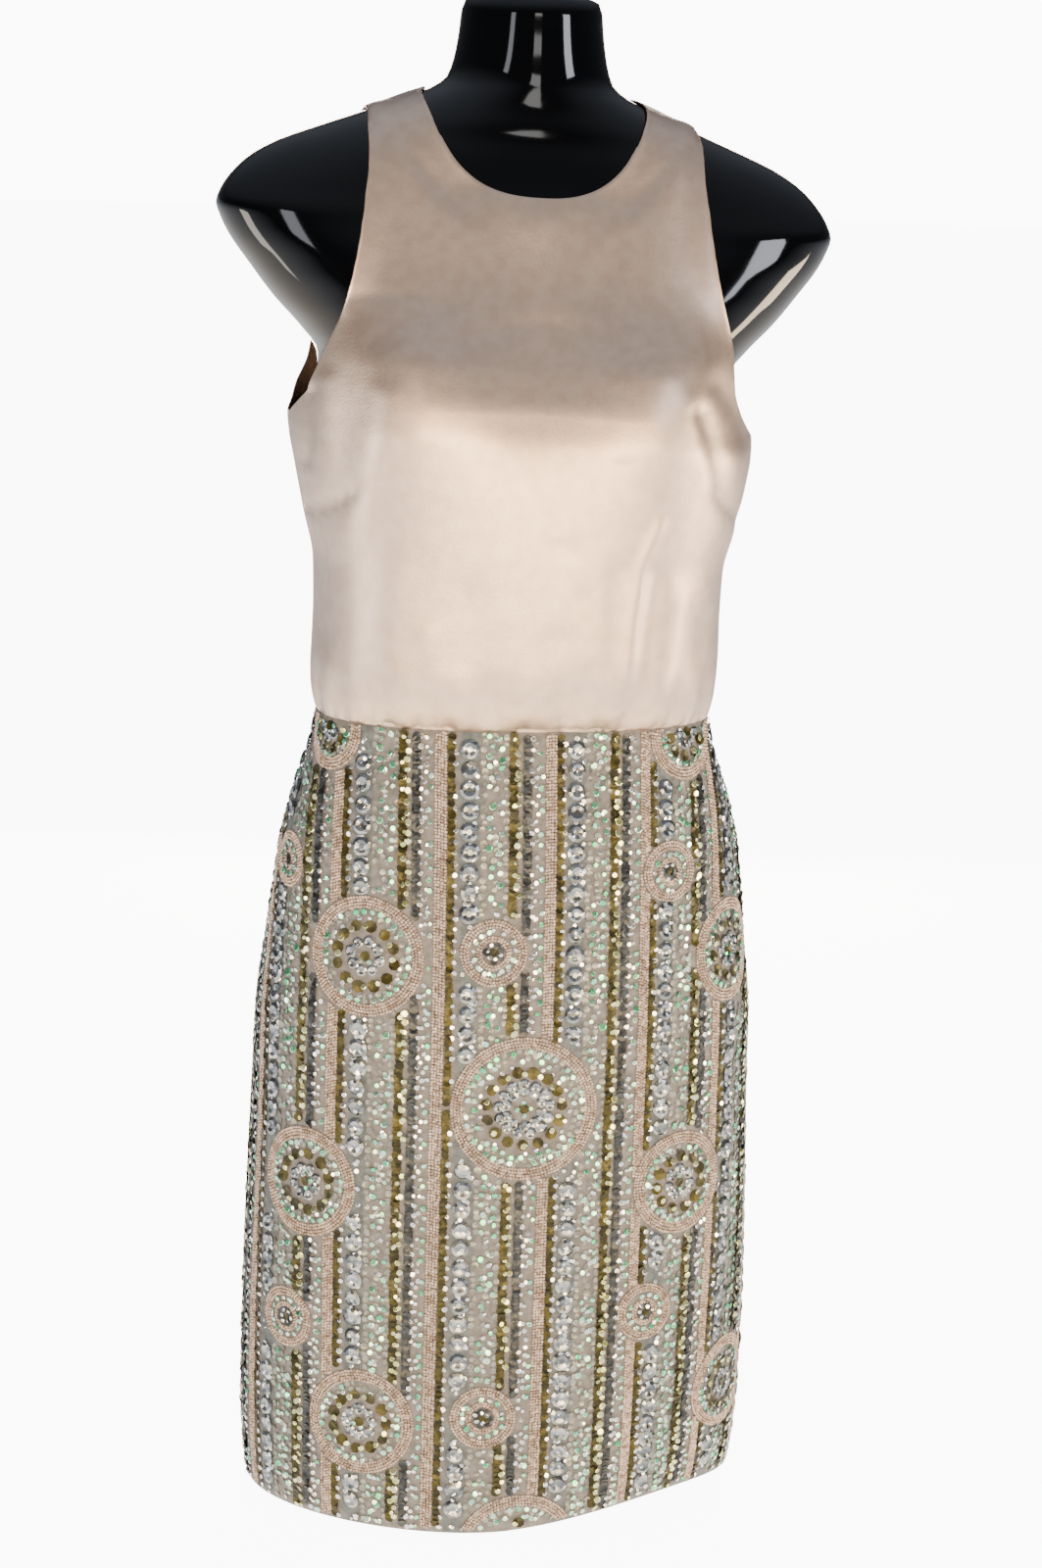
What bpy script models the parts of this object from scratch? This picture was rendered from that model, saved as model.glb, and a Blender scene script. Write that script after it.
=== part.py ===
"""Sleeveless blouson cocktail dress on a limbless torso form, in metres, +Z up.

The wearer's front faces -Y and the wearer's left is +X. The origin is the centre of the form's
flat base, on the surface that it stands on. The garment is sewn from three bodice panels and three
skirt panels over a centre-back zip. Every panel is a closed wall lofted through rings around the
figure: the rings lie flat through the skirt and the body of the bodice, and climb over the
shoulders to the neckline above the underarm.
"""
import math

import bmesh
import bpy
from mathutils import Matrix, Vector
from mathutils.bvhtree import BVHTree

MM = 0.001

# ---------------------------------------------------------------- driving dimensions, in millimetres
BODICE_CLOTH = 1.2      # satin-faced crepe with its facing
SKIRT_CLOTH = 1.6       # beaded net on its lining
SEAM_GAP = 0.3          # between two pieces at a seam
DRAPE_GAP = 1.5         # least room between the cloth and the form
SEAT_GAP = 0.8          # the same on the shoulders, where the dress hangs
ZIP_ROOM = 3.2          # the same at the centre back, for the zip
FACE_GAP = 0.6          # the same at the middle of every flat face of the mesh
FACE_PASSES = 5
WAIST_HEIGHT = 542.0    # of the waist seam
SHOULDER_RING = 14      # ring of the shoulder's outer end; the straps lie above it
UNDERARM_RING = 9       # ring of the side seam's top

FORM_SIDES = 36
BODICE_COLUMNS = 40     # across the front, four to a gather
SKIRT_COLUMNS = 28      # across the front
GATHERS_PER_TURN = 20   # soft gathers that ease the bodice into the waist seam
GATHER_DEPTH = 1.7
HEM_LIFT = 15.0         # the hem's rise where it hangs unevenly, at the front of the wearer's left
HEM_LIFT_ANGLE = 44.0   # degrees round from the centre front to the middle of that rise
HEM_LIFT_SPREAD = 36.0
HEM_LIFT_HEIGHT = 110.0 # height over which the rise is eased out

LEAN = 1.8              # degrees by which the shoulders of the form and the dress dip to the left
LEAN_HEIGHTS = (600.0, 720.0, 935.0, 985.0)     # it grows between the first two and fades between the last

BUST_RISE = 9.5         # how far each side of the bust lifts the cloth
BUST_X = 78.0
BUST_HEIGHT = 763.0
BUST_WIDTH = 42.0
BUST_ABOVE = 22.0       # the lift fades over this height above the bust
BUST_BELOW = 95.0       # and over this height below it, where the cloth hangs free

ZIP_WIDTH = 20.0
ZIP_THICKNESS = 1.0
ZIP_LOW_RING = 7        # ring of the skirt at the zip's bottom stop
ZIP_TOP_RING = 16.85    # just under the back neckline

# Rings of the form: height, half-width, depth to the front, depth to the back, and fullness,
# which is 2 for an ellipse and more for a blunter section.
FORM_COLUMNS = ("height", "half_width", "front", "back", "fullness")
FORM_RINGS = (
    (0, 110, 58, 80, 2.3),
    (4, 113, 61, 83, 2.3),
    (150, 152, 97, 108, 2.35),
    (280, 158, 104, 119, 2.4),
    (360, 154, 103, 118, 2.4),
    (430, 144, 98, 104, 2.3),
    (490, 128, 88, 84, 2.3),
    (545, 114, 79, 68, 2.3),
    (590, 112, 79, 68, 2.3),
    (640, 117, 87, 76, 2.4),
    (690, 126, 104, 84, 2.5),
    (725, 131, 111, 88, 2.6),
    (750, 132, 107, 90, 2.6),
    (770, 133, 98, 92, 2.7),
    (785, 144, 90, 94, 2.8),
    (804, 162, 81.5, 95, 2.9),
    (823, 177, 75, 94, 3.0),
    (842, 191, 69, 92, 3.0),
    (854, 197, 65, 89, 3.0),
    (861, 199, 63, 86.5, 3.0),
    (870, 196, 60.5, 84, 2.9),
    (884, 186, 57, 78, 2.8),
    (893, 176, 55, 74, 2.7),
    (902, 161, 53, 69, 2.6),
    (911, 139, 51, 63, 2.5),
    (919, 118, 50, 59, 2.4),
    (927, 97, 48.5, 55.5, 2.3),
    (934, 79, 47.5, 53, 2.2),
    (940, 65, 47, 51, 2.1),
    (948, 54, 46, 50, 2.0),
    (960, 49.5, 45.5, 49, 2.0),
    (978, 46.5, 44.5, 48, 2.0),
    (992, 45, 44, 47, 2.0),
    (997.5, 43, 42, 45, 2.0),
    (1000, 38, 37, 40, 2.0),
)

# Rings of the cloth's inner face: heights at the centre front, the side and the centre back,
# half-width, the side seam's Y, depths to the front and the back, and fullness.
CLOTH_COLUMNS = ("z_front", "z_side", "z_back", "half_width", "side_y", "front", "back", "fullness")
BODICE_RINGS = (
    (542.0, 542.0, 542.0, 127.3, -10, 89.0, 77.0, 2.3),    # 0 waist seam
    (549.0, 549.0, 549.0, 129.0, -10, 95.0, 83.0, 2.3),
    (561.0, 561.0, 561.0, 131.3, -10, 102.0, 89.0, 2.3),
    (579.0, 579.0, 579.0, 132.3, -11, 107.0, 91.0, 2.3),
    (610.0, 610.0, 610.0, 131.5, -12, 110.0, 90.0, 2.35),
    (640.0, 640.0, 640.0, 132.2, -12, 112.5, 90.0, 2.4),
    (670.0, 670.0, 670.0, 139.0, -11, 115.0, 92.0, 2.4),
    (700.0, 700.0, 700.0, 145.5, -8, 117.0, 95.0, 2.4),
    (724.0, 718.0, 722.0, 149.0, -4, 117.5, 98.0, 2.4),
    (744.0, 731.0, 741.0, 150.0, 0, 115.0, 100.0, 2.4),    # 9 underarm
    (764.0, 775.0, 771.0, 148.5, 2, 107.0, 101.5, 2.5),
    (784.0, 815.0, 801.0, 143.5, 3, 97.5, 101.5, 2.6),
    (804.0, 853.0, 829.0, 134.0, 4, 88.5, 99.5, 2.7),
    (824.0, 890.0, 857.0, 120.5, 4, 80.0, 94.0, 2.8),
    (842.0, 923.5, 882.0, 103.5, 4, 73.5, 86.0, 2.7),      # 14 shoulder end
    (855.0, 930.0, 903.0, 92.0, 4, 69.5, 76.0, 2.55),
    (866.0, 936.0, 921.0, 79.5, 3, 66.0, 66.5, 2.55),
    (875.5, 940.5, 935.0, 67.0, 3, 62.5, 57.5, 2.6),       # 17 neckline
)
SKIRT_RINGS = (
    (6.0, 6.0, 6.0, 164.0, 0, 112.0, 117.0, 1.8),
    (30.0, 30.0, 30.0, 167.0, 0, 113.0, 119.0, 1.95),
    (80.0, 80.0, 80.0, 168.8, 0, 113.5, 122.0, 2.1),
    (150.0, 150.0, 150.0, 168.3, 0, 113.5, 126.0, 2.25),
    (220.0, 220.0, 220.0, 166.5, 0, 113.0, 129.0, 2.35),
    (290.0, 290.0, 290.0, 164.6, 0, 112.5, 131.0, 2.35),
    (340.0, 340.0, 340.0, 163.4, -2, 112.0, 131.0, 2.35),
    (389.0, 389.0, 389.0, 157.8, -5, 109.0, 124.0, 2.35),
    (423.0, 423.0, 423.0, 153.6, -8, 106.0, 115.0, 2.3),
    (457.0, 457.0, 457.0, 148.8, -9, 102.5, 104.0, 2.3),
    (490.0, 490.0, 490.0, 140.3, -10, 98.0, 92.5, 2.3),
    (507.0, 507.0, 507.0, 134.6, -10, 94.5, 86.0, 2.3),
    (524.0, 524.0, 524.0, 129.8, -10, 91.0, 80.5, 2.3),
    (541.7, 541.7, 541.7, 127.3, -10, 89.0, 77.0, 2.3),
)

# The armhole in front view: height and distance from the centre. The dress sits a little turned on
# the form, so its front stands further out at the wearer's right armhole than at the left.
ARMHOLE_COLUMNS = ("height", "front_right", "front_left", "back")
ARMHOLE = (
    (731, 150.0, 150.0, 150.0),
    (734, 149.2, 145.0, 147.2),
    (740, 146.8, 139.6, 143.2),
    (749, 142.9, 133.8, 137.4),
    (763, 137.6, 128.3, 130.2),
    (777, 132.8, 126.8, 127.4),
    (789, 127.5, 126.4, 125.2),
    (800, 122.4, 122.8, 122.8),
    (811, 119.3, 119.6, 121.0),
    (829, 115.3, 115.3, 118.0),
    (853, 111.2, 111.2, 113.5),
    (877, 108.0, 108.0, 109.5),
    (904, 105.4, 105.4, 105.8),
    (923.5, 103.5, 103.5, 103.5),
)

BODICE_SAMPLES = (0, 0.6, 1.2, 2, 3, 4, 5.2, 6.4, 7.6, 8.5, 9, 9.1, 9.3, 9.7, 10.3, 11.1, 12, 12.8,
                  13.4, 13.75, 13.92, 14, 15, 16, 17)
SKIRT_SAMPLES = (0, 1, 2, 3, 4, 5, 6, 7, 8, 9, 10, 11, 12, 13)

BLUSH = (0.80, 0.66, 0.58)
BEADED = (0.55, 0.50, 0.45)
NICKEL = (0.62, 0.60, 0.57)
BLACK = (0.012, 0.012, 0.013)


# ---------------------------------------------------------------- curves through the tables
def through(xs, ys, x):
    """The value at x of a smooth curve through the points that never overshoots them."""
    last = len(xs) - 1
    x = min(max(x, xs[0]), xs[last])
    i = max(k for k in range(last) if xs[k] <= x or k == 0)
    step = [xs[k + 1] - xs[k] for k in range(last)]
    rise = [(ys[k + 1] - ys[k]) / step[k] for k in range(last)]

    def slope(k):
        if k == 0 or k == last:
            return rise[min(k, last - 1)]
        if rise[k - 1] * rise[k] <= 0:
            return 0.0
        before, after = 2 * step[k] + step[k - 1], step[k] + 2 * step[k - 1]
        return (before + after) / (before / rise[k - 1] + after / rise[k])

    t = (x - xs[i]) / step[i]
    h00, h10 = (1 + 2 * t) * (1 - t) ** 2, t * (1 - t) ** 2
    h01, h11 = t * t * (3 - 2 * t), t * t * (t - 1)
    return h00 * ys[i] + h10 * step[i] * slope(i) + h01 * ys[i + 1] + h11 * step[i] * slope(i + 1)


def column(table, names, name):
    place = names.index(name)
    return [row[place] for row in table]


def signed_power(value, power):
    return math.copysign(abs(value) ** power, value)


def smooth_step(low, high, x):
    t = min(max((x - low) / (high - low), 0.0), 1.0)
    return t * t * (3 - 2 * t)


# ---------------------------------------------------------------- the cloth's surface
def ring_at(table, position):
    """The ring at a position along the table, where 2.5 is halfway from ring 2 to ring 3."""
    places = list(range(len(table)))
    return {name: through(places, column(table, CLOTH_COLUMNS, name), position)
            for name in CLOTH_COLUMNS}


def bust_lift(x, z):
    """How far the bust pushes the cloth forward at a point of the front."""
    across = math.exp(-((abs(x) - BUST_X) / BUST_WIDTH) ** 2)
    reach = BUST_ABOVE if z > BUST_HEIGHT else BUST_BELOW
    return BUST_RISE * across * math.exp(-((z - BUST_HEIGHT) / reach) ** 2)


def gather_wave(angle, z):
    """The in-and-out of the gathers above the waist seam, which fade out 50 mm up."""
    above = z - WAIST_HEIGHT
    size = smooth_step(-4, 12, above) * (1 - smooth_step(12, 52, above))
    uneven = 0.72 + 0.28 * math.sin(3.1 * angle + 1.0)
    return GATHER_DEPTH * size * uneven * math.cos(GATHERS_PER_TURN * angle)


def hem_lift(angle, z):
    """The uneven hem's rise there, eased out above it."""
    spread = math.exp(-((math.degrees(angle) - HEM_LIFT_ANGLE) / HEM_LIFT_SPREAD) ** 2)
    return HEM_LIFT * spread * (1 - smooth_step(0, HEM_LIFT_HEIGHT, z))


def lean(x, z):
    """How much higher a point stands because the shoulders dip to the left."""
    start, full, fade, end = LEAN_HEIGHTS
    size = smooth_step(start, full, z) * (1 - smooth_step(fade, end, z))
    return -x * math.tan(math.radians(LEAN)) * size


def climb(across, along, position):
    """How far a ring has climbed from its height at the centre line to its height at the side.

    Most rings bow evenly. The neckline stays low across the throat and then rises steeply."""
    bowed = abs(across) ** 2.5
    scooped = (1 - abs(along)) ** 0.9
    return bowed + (scooped - bowed) * smooth_step(SHOULDER_RING, len(BODICE_RINGS) - 1, position)


def cloth_point(table, angle, position):
    """A point of the cloth's inner face before it meets the form, in millimetres.

    angle is 0 at the centre front, 90 degrees at the wearer's left side and 180 at the back."""
    ring = ring_at(table, position)
    power = 2 / ring["fullness"]
    across, along = signed_power(math.sin(angle), power), signed_power(math.cos(angle), power)
    x = ring["half_width"] * across
    toward_front = along >= 0
    depth = ring["front"] + ring["side_y"] if toward_front else ring["back"] - ring["side_y"]
    y = ring["side_y"] - depth * along
    z_centre = ring["z_front"] if toward_front else ring["z_back"]
    z = z_centre
    if table is BODICE_RINGS:
        z += (ring["z_side"] - z_centre) * climb(across, along, position)
        if toward_front:
            y -= bust_lift(x, z) * along
        wave = gather_wave(angle, z)
        x += wave * math.sin(angle)
        y -= wave * math.cos(angle)
        z += lean(x, z)
    else:
        z += hem_lift(angle, z)
    return Vector((x, y, z))


def room_at(table, angle, position):
    """The least room between the cloth's inner face and the form there."""
    room = DRAPE_GAP
    if table is BODICE_RINGS:
        room += (SEAT_GAP - DRAPE_GAP) * smooth_step(SHOULDER_RING - 2, SHOULDER_RING, position)
    from_back = abs(math.pi - abs(angle))
    return room + (ZIP_ROOM - room) * (1 - smooth_step(0.12, 0.30, from_back))


def raised(point, form_tree, room):
    """How far to move the point, all in millimetres, to have that room from the form."""
    near, normal, _, _ = form_tree.find_nearest(point * MM)
    height = (point * MM - near).dot(normal) / MM
    return normal * max(room - height, 0)


def settled(table, angle, position, form_tree):
    """A point of the cloth's inner face where it rests on the form or hangs clear of it."""
    if angle > math.pi:
        angle -= 2 * math.pi
    point = cloth_point(table, angle, position)
    return point + raised(point, form_tree, room_at(table, angle, position))


def cloth_normal(table, angle, position, form_tree):
    """The outward direction of the cloth there, level where it meets the waist seam or the hem."""
    turn, climb = 0.03, 0.08
    last = len(table) - 1
    low, high = max(position - climb, 0), min(position + climb, last)
    around = (settled(table, angle + turn, position, form_tree)
              - settled(table, angle - turn, position, form_tree))
    upward = (settled(table, angle, high, form_tree) - settled(table, angle, low, form_tree))
    normal = around.cross(upward)
    if position == 0 or (table is SKIRT_RINGS and position == last):
        normal.z = 0
    return normal.normalized()


def clear_faces(grid, form_tree):
    """Raises points until the middles of the faces and edges between them clear the form too."""
    rows, columns = range(len(grid) - 1), range(len(grid[0]) - 1)
    groups = [((r, c), (r, c + 1), (r + 1, c), (r + 1, c + 1)) for r in rows for c in columns]
    groups += [((r, c), (r, c + 1)) for r in range(len(grid)) for c in columns]
    groups += [((r, c), (r + 1, c)) for r in rows for c in range(len(grid[0]))]
    for _ in range(FACE_PASSES):
        for group in groups:
            middle = sum((grid[r][c] for r, c in group), Vector()) / len(group)
            move = raised(middle, form_tree, FACE_GAP)
            for r, c in group:
                grid[r][c] = grid[r][c] + move


# ---------------------------------------------------------------- the armhole
def armhole_x(z, side):
    return through(column(ARMHOLE, ARMHOLE_COLUMNS, "height"),
                   column(ARMHOLE, ARMHOLE_COLUMNS, side), z)


def armhole_angle(position, side):
    """How far from the centre line the cloth reaches round on that ring, in radians."""
    quarter = math.pi / 2
    if not UNDERARM_RING < position < SHOULDER_RING:
        return quarter
    steps = 360
    for k in range(steps, 0, -1):
        from_centre = quarter * k / steps
        angle = {"front_right": -from_centre, "front_left": from_centre,
                 "back": math.pi - from_centre}[side]
        point = cloth_point(BODICE_RINGS, angle, position)
        if abs(point.x) <= armhole_x(point.z - lean(point.x, point.z), side):
            return from_centre
    raise ValueError("the armhole takes the whole ring")


# ---------------------------------------------------------------- meshes and materials
def material(name, colour, roughness, metallic=0.0):
    made = bpy.data.materials.new(name)
    made.use_nodes = True
    shader = made.node_tree.nodes["Principled BSDF"]
    shader.inputs["Base Color"].default_value = (*colour, 1)
    shader.inputs["Roughness"].default_value = roughness
    shader.inputs["Metallic"].default_value = metallic
    made.diffuse_color = (*colour, 1)
    return made


def add_object(name, mesh, finish):
    mesh.materials.append(finish)
    made = bpy.data.objects.new(name, mesh)
    bpy.context.scene.collection.objects.link(made)
    return made


def wall_mesh(name, inner, outer):
    """A closed wall between two grids of points, given in millimetres as rows of columns."""
    rows, columns = len(inner), len(inner[0])
    bm = bmesh.new()
    inside = [[bm.verts.new(p * MM) for p in row] for row in inner]
    outside = [[bm.verts.new(p * MM) for p in row] for row in outer]
    for r in range(rows - 1):
        for c in range(columns - 1):
            bm.faces.new((outside[r][c], outside[r][c + 1], outside[r + 1][c + 1], outside[r + 1][c]))
            bm.faces.new((inside[r][c], inside[r + 1][c], inside[r + 1][c + 1], inside[r][c + 1]))
    rim = ([(0, c) for c in range(columns - 1)] + [(r, columns - 1) for r in range(rows - 1)]
           + [(rows - 1, c) for c in range(columns - 1, 0, -1)] + [(r, 0) for r in range(rows - 1, 0, -1)])
    for (r1, c1), (r2, c2) in zip(rim, rim[1:] + rim[:1]):
        bm.faces.new((inside[r1][c1], inside[r2][c2], outside[r2][c2], outside[r1][c1]))
    bmesh.ops.recalc_face_normals(bm, faces=bm.faces)
    mesh = bpy.data.meshes.new(name)
    bm.to_mesh(mesh)
    bm.free()
    mesh.shade_smooth()
    mesh.set_sharp_from_angle(angle=math.radians(50))
    return mesh


def add_panel(name, table, samples, columns, side, thickness, form_tree, finish):
    """One sewn panel. side is "front", or "left" or "right" for a back panel of the wearer's."""
    inner, normals = [], []
    for position in samples:
        right, left, back = (
            armhole_angle(position, name) if table is BODICE_RINGS else math.pi / 2
            for name in ("front_right", "front_left", "back"))
        trim = SEAM_GAP / 2 / ring_at(table, position)["half_width"]
        if side == "front":
            first, last = -right + trim, left - trim
        elif side == "left":
            first, last = math.pi - back + trim, math.pi - trim
        else:
            first, last = math.pi + trim, math.pi + back - trim
        angles = [first + (last - first) * c / columns for c in range(columns + 1)]
        inner.append([settled(table, angle, position, form_tree) for angle in angles])
        normals.append([cloth_normal(table, angle, position, form_tree) for angle in angles])
    clear_faces(inner, form_tree)
    outer = [[point + normal * thickness for point, normal in zip(*rows)]
             for rows in zip(inner, normals)]
    return add_object(name, wall_mesh(name, inner, outer), finish)


# ---------------------------------------------------------------- the form
def form_ring(height, sides):
    heights = column(FORM_RINGS, FORM_COLUMNS, "height")
    half_width, front, back, fullness = (
        through(heights, column(FORM_RINGS, FORM_COLUMNS, name), height)
        for name in FORM_COLUMNS[1:])
    ring = []
    for k in range(sides):
        angle = 2 * math.pi * k / sides
        across = signed_power(math.sin(angle), 2 / fullness)
        along = signed_power(math.cos(angle), 2 / fullness)
        x = half_width * across
        y = -(front if along >= 0 else back) * along
        ring.append(Vector((x, y, height + lean(x, height))))
    return ring


def form_body(sides, longest_step):
    """The torso form: one smooth body with a flat base, cut off at the upper arms and the neck."""
    heights = []
    for row, above in zip(FORM_RINGS, FORM_RINGS[1:]):
        steps = math.ceil((above[0] - row[0]) / longest_step)
        heights += [row[0] + (above[0] - row[0]) * k / steps for k in range(steps)]
    heights.append(FORM_RINGS[-1][0])
    bm = bmesh.new()
    rings = [[bm.verts.new(p * MM) for p in form_ring(h, sides)] for h in heights]
    for ring, above in zip(rings, rings[1:]):
        for k in range(sides):
            n = (k + 1) % sides
            bm.faces.new((ring[k], ring[n], above[n], above[k]))
    bm.faces.new(reversed(rings[0]))
    bm.faces.new(rings[-1])
    bmesh.ops.recalc_face_normals(bm, faces=bm.faces)
    return bm


def form_surface():
    """The form's true surface, for the cloth to rest on."""
    bm = form_body(120, 6)
    tree = BVHTree.FromBMesh(bm)
    bm.free()
    return tree


def add_form(finish):
    bm = form_body(FORM_SIDES, 36)
    mesh = bpy.data.meshes.new("dress_form")
    bm.to_mesh(mesh)
    bm.free()
    mesh.shade_smooth()
    mesh.set_sharp_from_angle(angle=math.radians(60))
    return add_object("dress_form", mesh, finish)


# ---------------------------------------------------------------- the zip
def back_seam_path():
    """Rings up the centre-back seam from the zip's stop to the nape, as (table, position)."""
    path = [(SKIRT_RINGS, v) for v in range(ZIP_LOW_RING, len(SKIRT_RINGS))]
    path += [(BODICE_RINGS, v) for v in BODICE_SAMPLES if 0 < v < ZIP_TOP_RING]
    return path + [(BODICE_RINGS, ZIP_TOP_RING)]


def add_zip(form_tree, finish):
    """The zip's tape and chain, a thin strip that lies under both edges of the centre-back seam."""
    inner, outer = [], []
    depth = SEAM_GAP * 1.5
    for table, position in back_seam_path():
        ring = ring_at(table, position)
        outer_row, inner_row = [], []
        for share in (-1, -0.35, 0, 0.35, 1):
            across = share * ZIP_WIDTH / 2 / ring["half_width"]
            angle = math.pi + math.asin(signed_power(across, ring["fullness"] / 2))
            face = settled(table, angle, position, form_tree)
            normal = cloth_normal(table, angle, position, form_tree)
            outer_row.append(face - normal * depth)
            inner_row.append(face - normal * (depth + ZIP_THICKNESS))
        outer.append(outer_row)
        inner.append(inner_row)
    return add_object("zip_chain", wall_mesh("zip_chain", inner, outer), finish)


SLIDER_DROP = 11.0       # the pull's axis, below the neckline's edge along the seam
SLIDER_WIDTH = 6.0
SLIDER_BASE = 1.0
HOLE = 1.8               # the square hole under the slider's bridge
BRIDGE_WIDTH = 2.0
BRIDGE_BAR = 1.0
POST = 1.2
SLIDER_REACH = 4.0       # the base's half-length along the seam
PULL_BAR = 1.0
PULL_LENGTH = 18.0
PULL_WINDOW = 2.8        # width of the pull's window around the bridge
PULL_WINDOW_END = 3.4
PULL_RAIL = 1.0
PULL_TIP_WIDTH = 7.0
PULL_REST = -3.0         # degrees from the base; it leans on the base's lower edge


def slider_frame(form_tree):
    """The slider's place: x across, y down the seam and z out of the cloth, at the seam's surface."""
    top = len(BODICE_RINGS) - 1

    def outer_face(position):
        face = settled(BODICE_RINGS, math.pi, position, form_tree)
        return face + cloth_normal(BODICE_RINGS, math.pi, position, form_tree) * BODICE_CLOTH

    edge, lower = outer_face(top), outer_face(top - 1)
    down = (lower - edge).normalized()
    place = edge + down * SLIDER_DROP
    across = Vector((1, 0, 0))
    out = across.cross(down).normalized()
    turn = Matrix((across, down, out)).transposed().to_4x4()
    return Matrix.Translation(place * MM) @ turn


def box(bm, low, high):
    made = bmesh.ops.create_cube(bm, size=1)["verts"]
    for vert in made:
        vert.co = Vector([low[i] + (vert.co[i] + 0.5) * (high[i] - low[i]) for i in range(3)])
    return made


def add_slider(frame, finish):
    """The zip's slider: a base on the seam and a bridge that the pull's bar lies under."""
    low = SEAM_GAP
    base_top = low + SLIDER_BASE
    hole_top = base_top + HOLE
    half_hole = HOLE / 2
    outline = [(-SLIDER_REACH, low), (SLIDER_REACH, low), (SLIDER_REACH, base_top),
               (half_hole + POST, base_top), (half_hole + POST, hole_top + BRIDGE_BAR),
               (-half_hole - POST, hole_top + BRIDGE_BAR), (-half_hole - POST, base_top),
               (-SLIDER_REACH, base_top)]
    bm = bmesh.new()
    box(bm, (-SLIDER_WIDTH / 2, -SLIDER_REACH, low), (SLIDER_WIDTH / 2, SLIDER_REACH, base_top))
    bmesh.ops.scale(bm, vec=(MM, MM, MM), verts=bm.verts)
    base_mesh = bpy.data.meshes.new("zip_slider")
    bm.to_mesh(base_mesh)
    bm.free()
    slider = add_object("zip_slider", base_mesh, finish)

    bridge = bmesh.new()
    ring = outline[2:8][1:5]
    half = BRIDGE_WIDTH / 2
    sink = 0.4 * SLIDER_BASE
    walls = [(ring[0][0], base_top - sink), ring[1], ring[2], (ring[3][0], base_top - sink),
             (-half_hole, base_top - sink), (-half_hole, hole_top), (half_hole, hole_top),
             (half_hole, base_top - sink)]
    left = [bridge.verts.new((-half, y, z)) for y, z in walls]
    right = [bridge.verts.new((half, y, z)) for y, z in walls]
    for k in range(len(walls)):
        n = (k + 1) % len(walls)
        bridge.faces.new((left[k], left[n], right[n], right[k]))
    bridge.faces.new(reversed(left))
    bridge.faces.new(right)
    bmesh.ops.recalc_face_normals(bridge, faces=bridge.faces)
    bmesh.ops.scale(bridge, vec=(MM, MM, MM), verts=bridge.verts)
    bridge_mesh = bpy.data.meshes.new("bridge_tool")
    bridge.to_mesh(bridge_mesh)
    bridge.free()
    tool = add_object("bridge_tool", bridge_mesh, finish)
    tool.hide_render = True
    tool.display_type = "WIRE"

    union = slider.modifiers.new("bridge", "BOOLEAN")
    union.operation = "UNION"
    union.object = tool
    soften = slider.modifiers.new("soften", "BEVEL")
    soften.width = 0.15 * MM
    soften.segments = 1
    for made in (slider, tool):
        made.matrix_world = frame
    return slider


def add_pull(frame, finish):
    """The teardrop pull, with its origin on its hinge axis under the slider's bridge."""
    axis_height = SEAM_GAP + SLIDER_BASE + HOLE / 2
    half_window, half_bar = PULL_WINDOW / 2, PULL_BAR / 2
    eye = half_window + PULL_RAIL
    tip_centre = PULL_LENGTH - PULL_TIP_WIDTH / 2
    outer = [(-eye, -half_bar), (eye, -half_bar), (eye, PULL_WINDOW_END + PULL_RAIL)]
    arc_steps = 10
    for k in range(arc_steps + 1):
        turn = math.radians(-15 + 210 * k / arc_steps)
        outer.append((PULL_TIP_WIDTH / 2 * math.cos(turn), tip_centre + PULL_TIP_WIDTH / 2 * math.sin(turn)))
    outer.append((-eye, PULL_WINDOW_END + PULL_RAIL))
    bm = bmesh.new()
    low = [bm.verts.new((x, y, -half_bar)) for x, y in outer]
    high = [bm.verts.new((x, y, half_bar)) for x, y in outer]
    for k in range(len(outer)):
        n = (k + 1) % len(outer)
        bm.faces.new((low[k], low[n], high[n], high[k]))
    bm.faces.new(reversed(low))
    bm.faces.new(high)
    bmesh.ops.recalc_face_normals(bm, faces=bm.faces)
    bmesh.ops.scale(bm, vec=(MM, MM, MM), verts=bm.verts)
    mesh = bpy.data.meshes.new("zip_pull")
    bm.to_mesh(mesh)
    bm.free()
    pull = add_object("zip_pull", mesh, finish)

    window = bmesh.new()
    box(window, (-half_window, half_bar, -PULL_BAR), (half_window, PULL_WINDOW_END, PULL_BAR))
    bmesh.ops.scale(window, vec=(MM, MM, MM), verts=window.verts)
    window_mesh = bpy.data.meshes.new("window_tool")
    window.to_mesh(window_mesh)
    window.free()
    tool = add_object("window_tool", window_mesh, finish)
    tool.hide_render = True
    tool.display_type = "WIRE"

    cut = pull.modifiers.new("window", "BOOLEAN")
    cut.operation = "DIFFERENCE"
    cut.object = tool
    soften = pull.modifiers.new("soften", "BEVEL")
    soften.width = 0.15 * MM
    soften.segments = 1
    hinge = (frame @ Matrix.Translation((0, 0, axis_height * MM))
             @ Matrix.Rotation(math.radians(PULL_REST), 4, "X"))
    for made in (pull, tool):
        made.matrix_world = hinge
    return pull


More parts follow.
